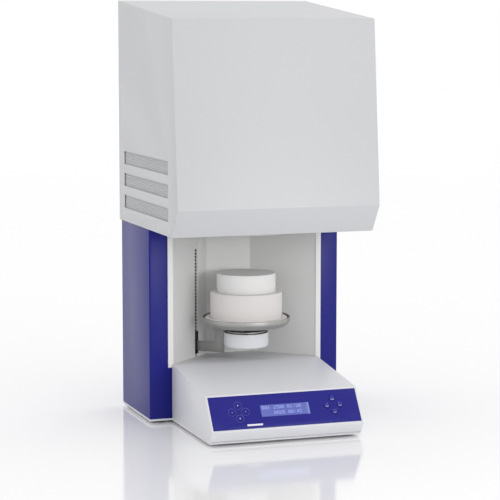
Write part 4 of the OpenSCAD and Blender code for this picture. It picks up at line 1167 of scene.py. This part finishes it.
def lift_drive():
    """The gearmotor: a flanged gearbox with screws, a can with a cooling band and an end cap."""
    centre = AT_LIFT.inverted() @ Vector(JOINTS["drive_drum_turn"]["pos_m"])
    here = AT_LIFT @ facing_back(centre.x, 11.5 * MM, centre.z)
    flange, gearbox, band, can, shaft = 15, 14.2, 13, 12.5, 4.1
    profile = mm((shaft, 0), (flange, 0), (flange, 3), (gearbox, 3.6), (gearbox, 22.4),
                 (flange, 23), (flange, 26), (band, 26), (band, 30), (can, 30.5), (can, 55),
                 (band, 55.5), (band, 61), (6, 61), (5.4, 62), (0, 62), (0, 10), (shaft, 10),
                 (shaft, 0))
    motor = turned(round_profile(profile, 0.5 * MM, 2), 64)
    stands_for(moved(motor, here), "gearmotor", "lift_motor")
    head = turned(round_profile(mm((0, 25.9), (1.3, 25.9), (1.3, 27.4), (0, 27.5)),
                                0.25 * MM, 2), 16)
    head = moved(head, Matrix.Translation((13.6 * MM, 0, 0)))
    finished(moved(round_about(head, 4, math.radians(45)), here), "gearbox_screws",
             "lift_motor", FINISHES["steel"])


# ---- camera, light and floor ----

CAMERA_PLACE = (-1.1733, -3.3788, 0.7487)
CAMERA_TURN = (math.radians(83.168), 0, math.radians(-19.19))
CAMERA_LENS = 139.66
FLOOR_SIZE = 30


def lamp(name, kind, place, aim, power, **settings):
    """A lamp at a place, turned towards what it lights."""
    light = bpy.data.lights.new(name, kind)
    light.energy = power
    for setting, value in settings.items():
        setattr(light, setting, value)
    made = bpy.data.objects.new(name, light)
    bpy.context.collection.objects.link(made)
    made.location = place
    made.rotation_euler = (Vector(aim) - made.location).to_track_quat("-Z", "Y").to_euler()


def stage():
    """The camera, a white room with two soft lamps, and a pale floor."""
    scene = bpy.context.scene
    pick()
    bpy.ops.object.camera_add(location=CAMERA_PLACE, rotation=CAMERA_TURN)
    scene.camera = bpy.context.object
    scene.camera.data.sensor_width = 36
    scene.camera.data.lens = CAMERA_LENS
    scene.camera.data.clip_end = 50
    scene.view_settings.view_transform = "Standard"

    world = bpy.data.worlds.new("white_room")
    world.use_nodes = True
    background = world.node_tree.nodes["Background"].inputs
    background["Color"].default_value = (1, 1, 1, 1)
    background["Strength"].default_value = 1.0
    scene.world = world
    lamp("front_softbox", "AREA", (1.1, -3.4, 0.9), (0, 0, 0.3), 17,
         shape="RECTANGLE", size=1.8, size_y=1.2)
    lamp("bay_light", "SPOT", (0.35, -2.2, 0.5), (-0.01, 0.03, 0.21), 48,
         spot_size=math.radians(10.5), spot_blend=1.0, shadow_soft_size=0.22)

    pick()
    bpy.ops.mesh.primitive_plane_add(size=FLOOR_SIZE, location=(0, 0, 0))
    floor = bpy.context.object
    floor.name = "floor"
    pale = Finish("pale_floor", (0.97, 0.97, 0.975), 0.1, ior=1.55)
    pale.feed("Roughness", 0.09 + pale.noise(3.0) * 0.02)
    floor.data.materials.append(pale.material)


stage()
vent_screens()
cover_screws()
wall_spacers()
feet()
for key, ink in ROUND_KEYS.items():
    round_key(key, ink)
for key, turn in ARROW_KEYS.items():
    arrow_key(key, turn)
panel_print()
display()
lift_band()
stack()
cooling_fan()
mains_inlet()
elements()
thermocouple()
transformer()
circuit_parts()
lift_drive()
eased("bay_liner", finish=BAY_PAINT_WITH_PAINTED_LIGHT)
eased("base_cover", finish=BASE_PAINT_WITH_PAINTED_LIGHT)
eased("base_tray", finish=BASE_PAINT_WITH_PAINTED_LIGHT)
for node in ("control_panel", "drive_drum", "idler_drum"):
    eased(node, 0.3 * MM)
for node in ("hood_shell", "hood_back", "left_column", "right_column", "column_back",
             "lift_arm", "arm_clamp", "arm_studs", "hood_deck", "throat_collar",
             "throat_ring", "chamber_ring", "chamber_roof", "chamber_casing", "casing_lid",
             "element_clamps", "element_straps", "power_module", "frame_posts", "lift_frame",
             "guide_rods", "end_sensors", "lift_carriage", "carriage_bushes"):
    eased(node)
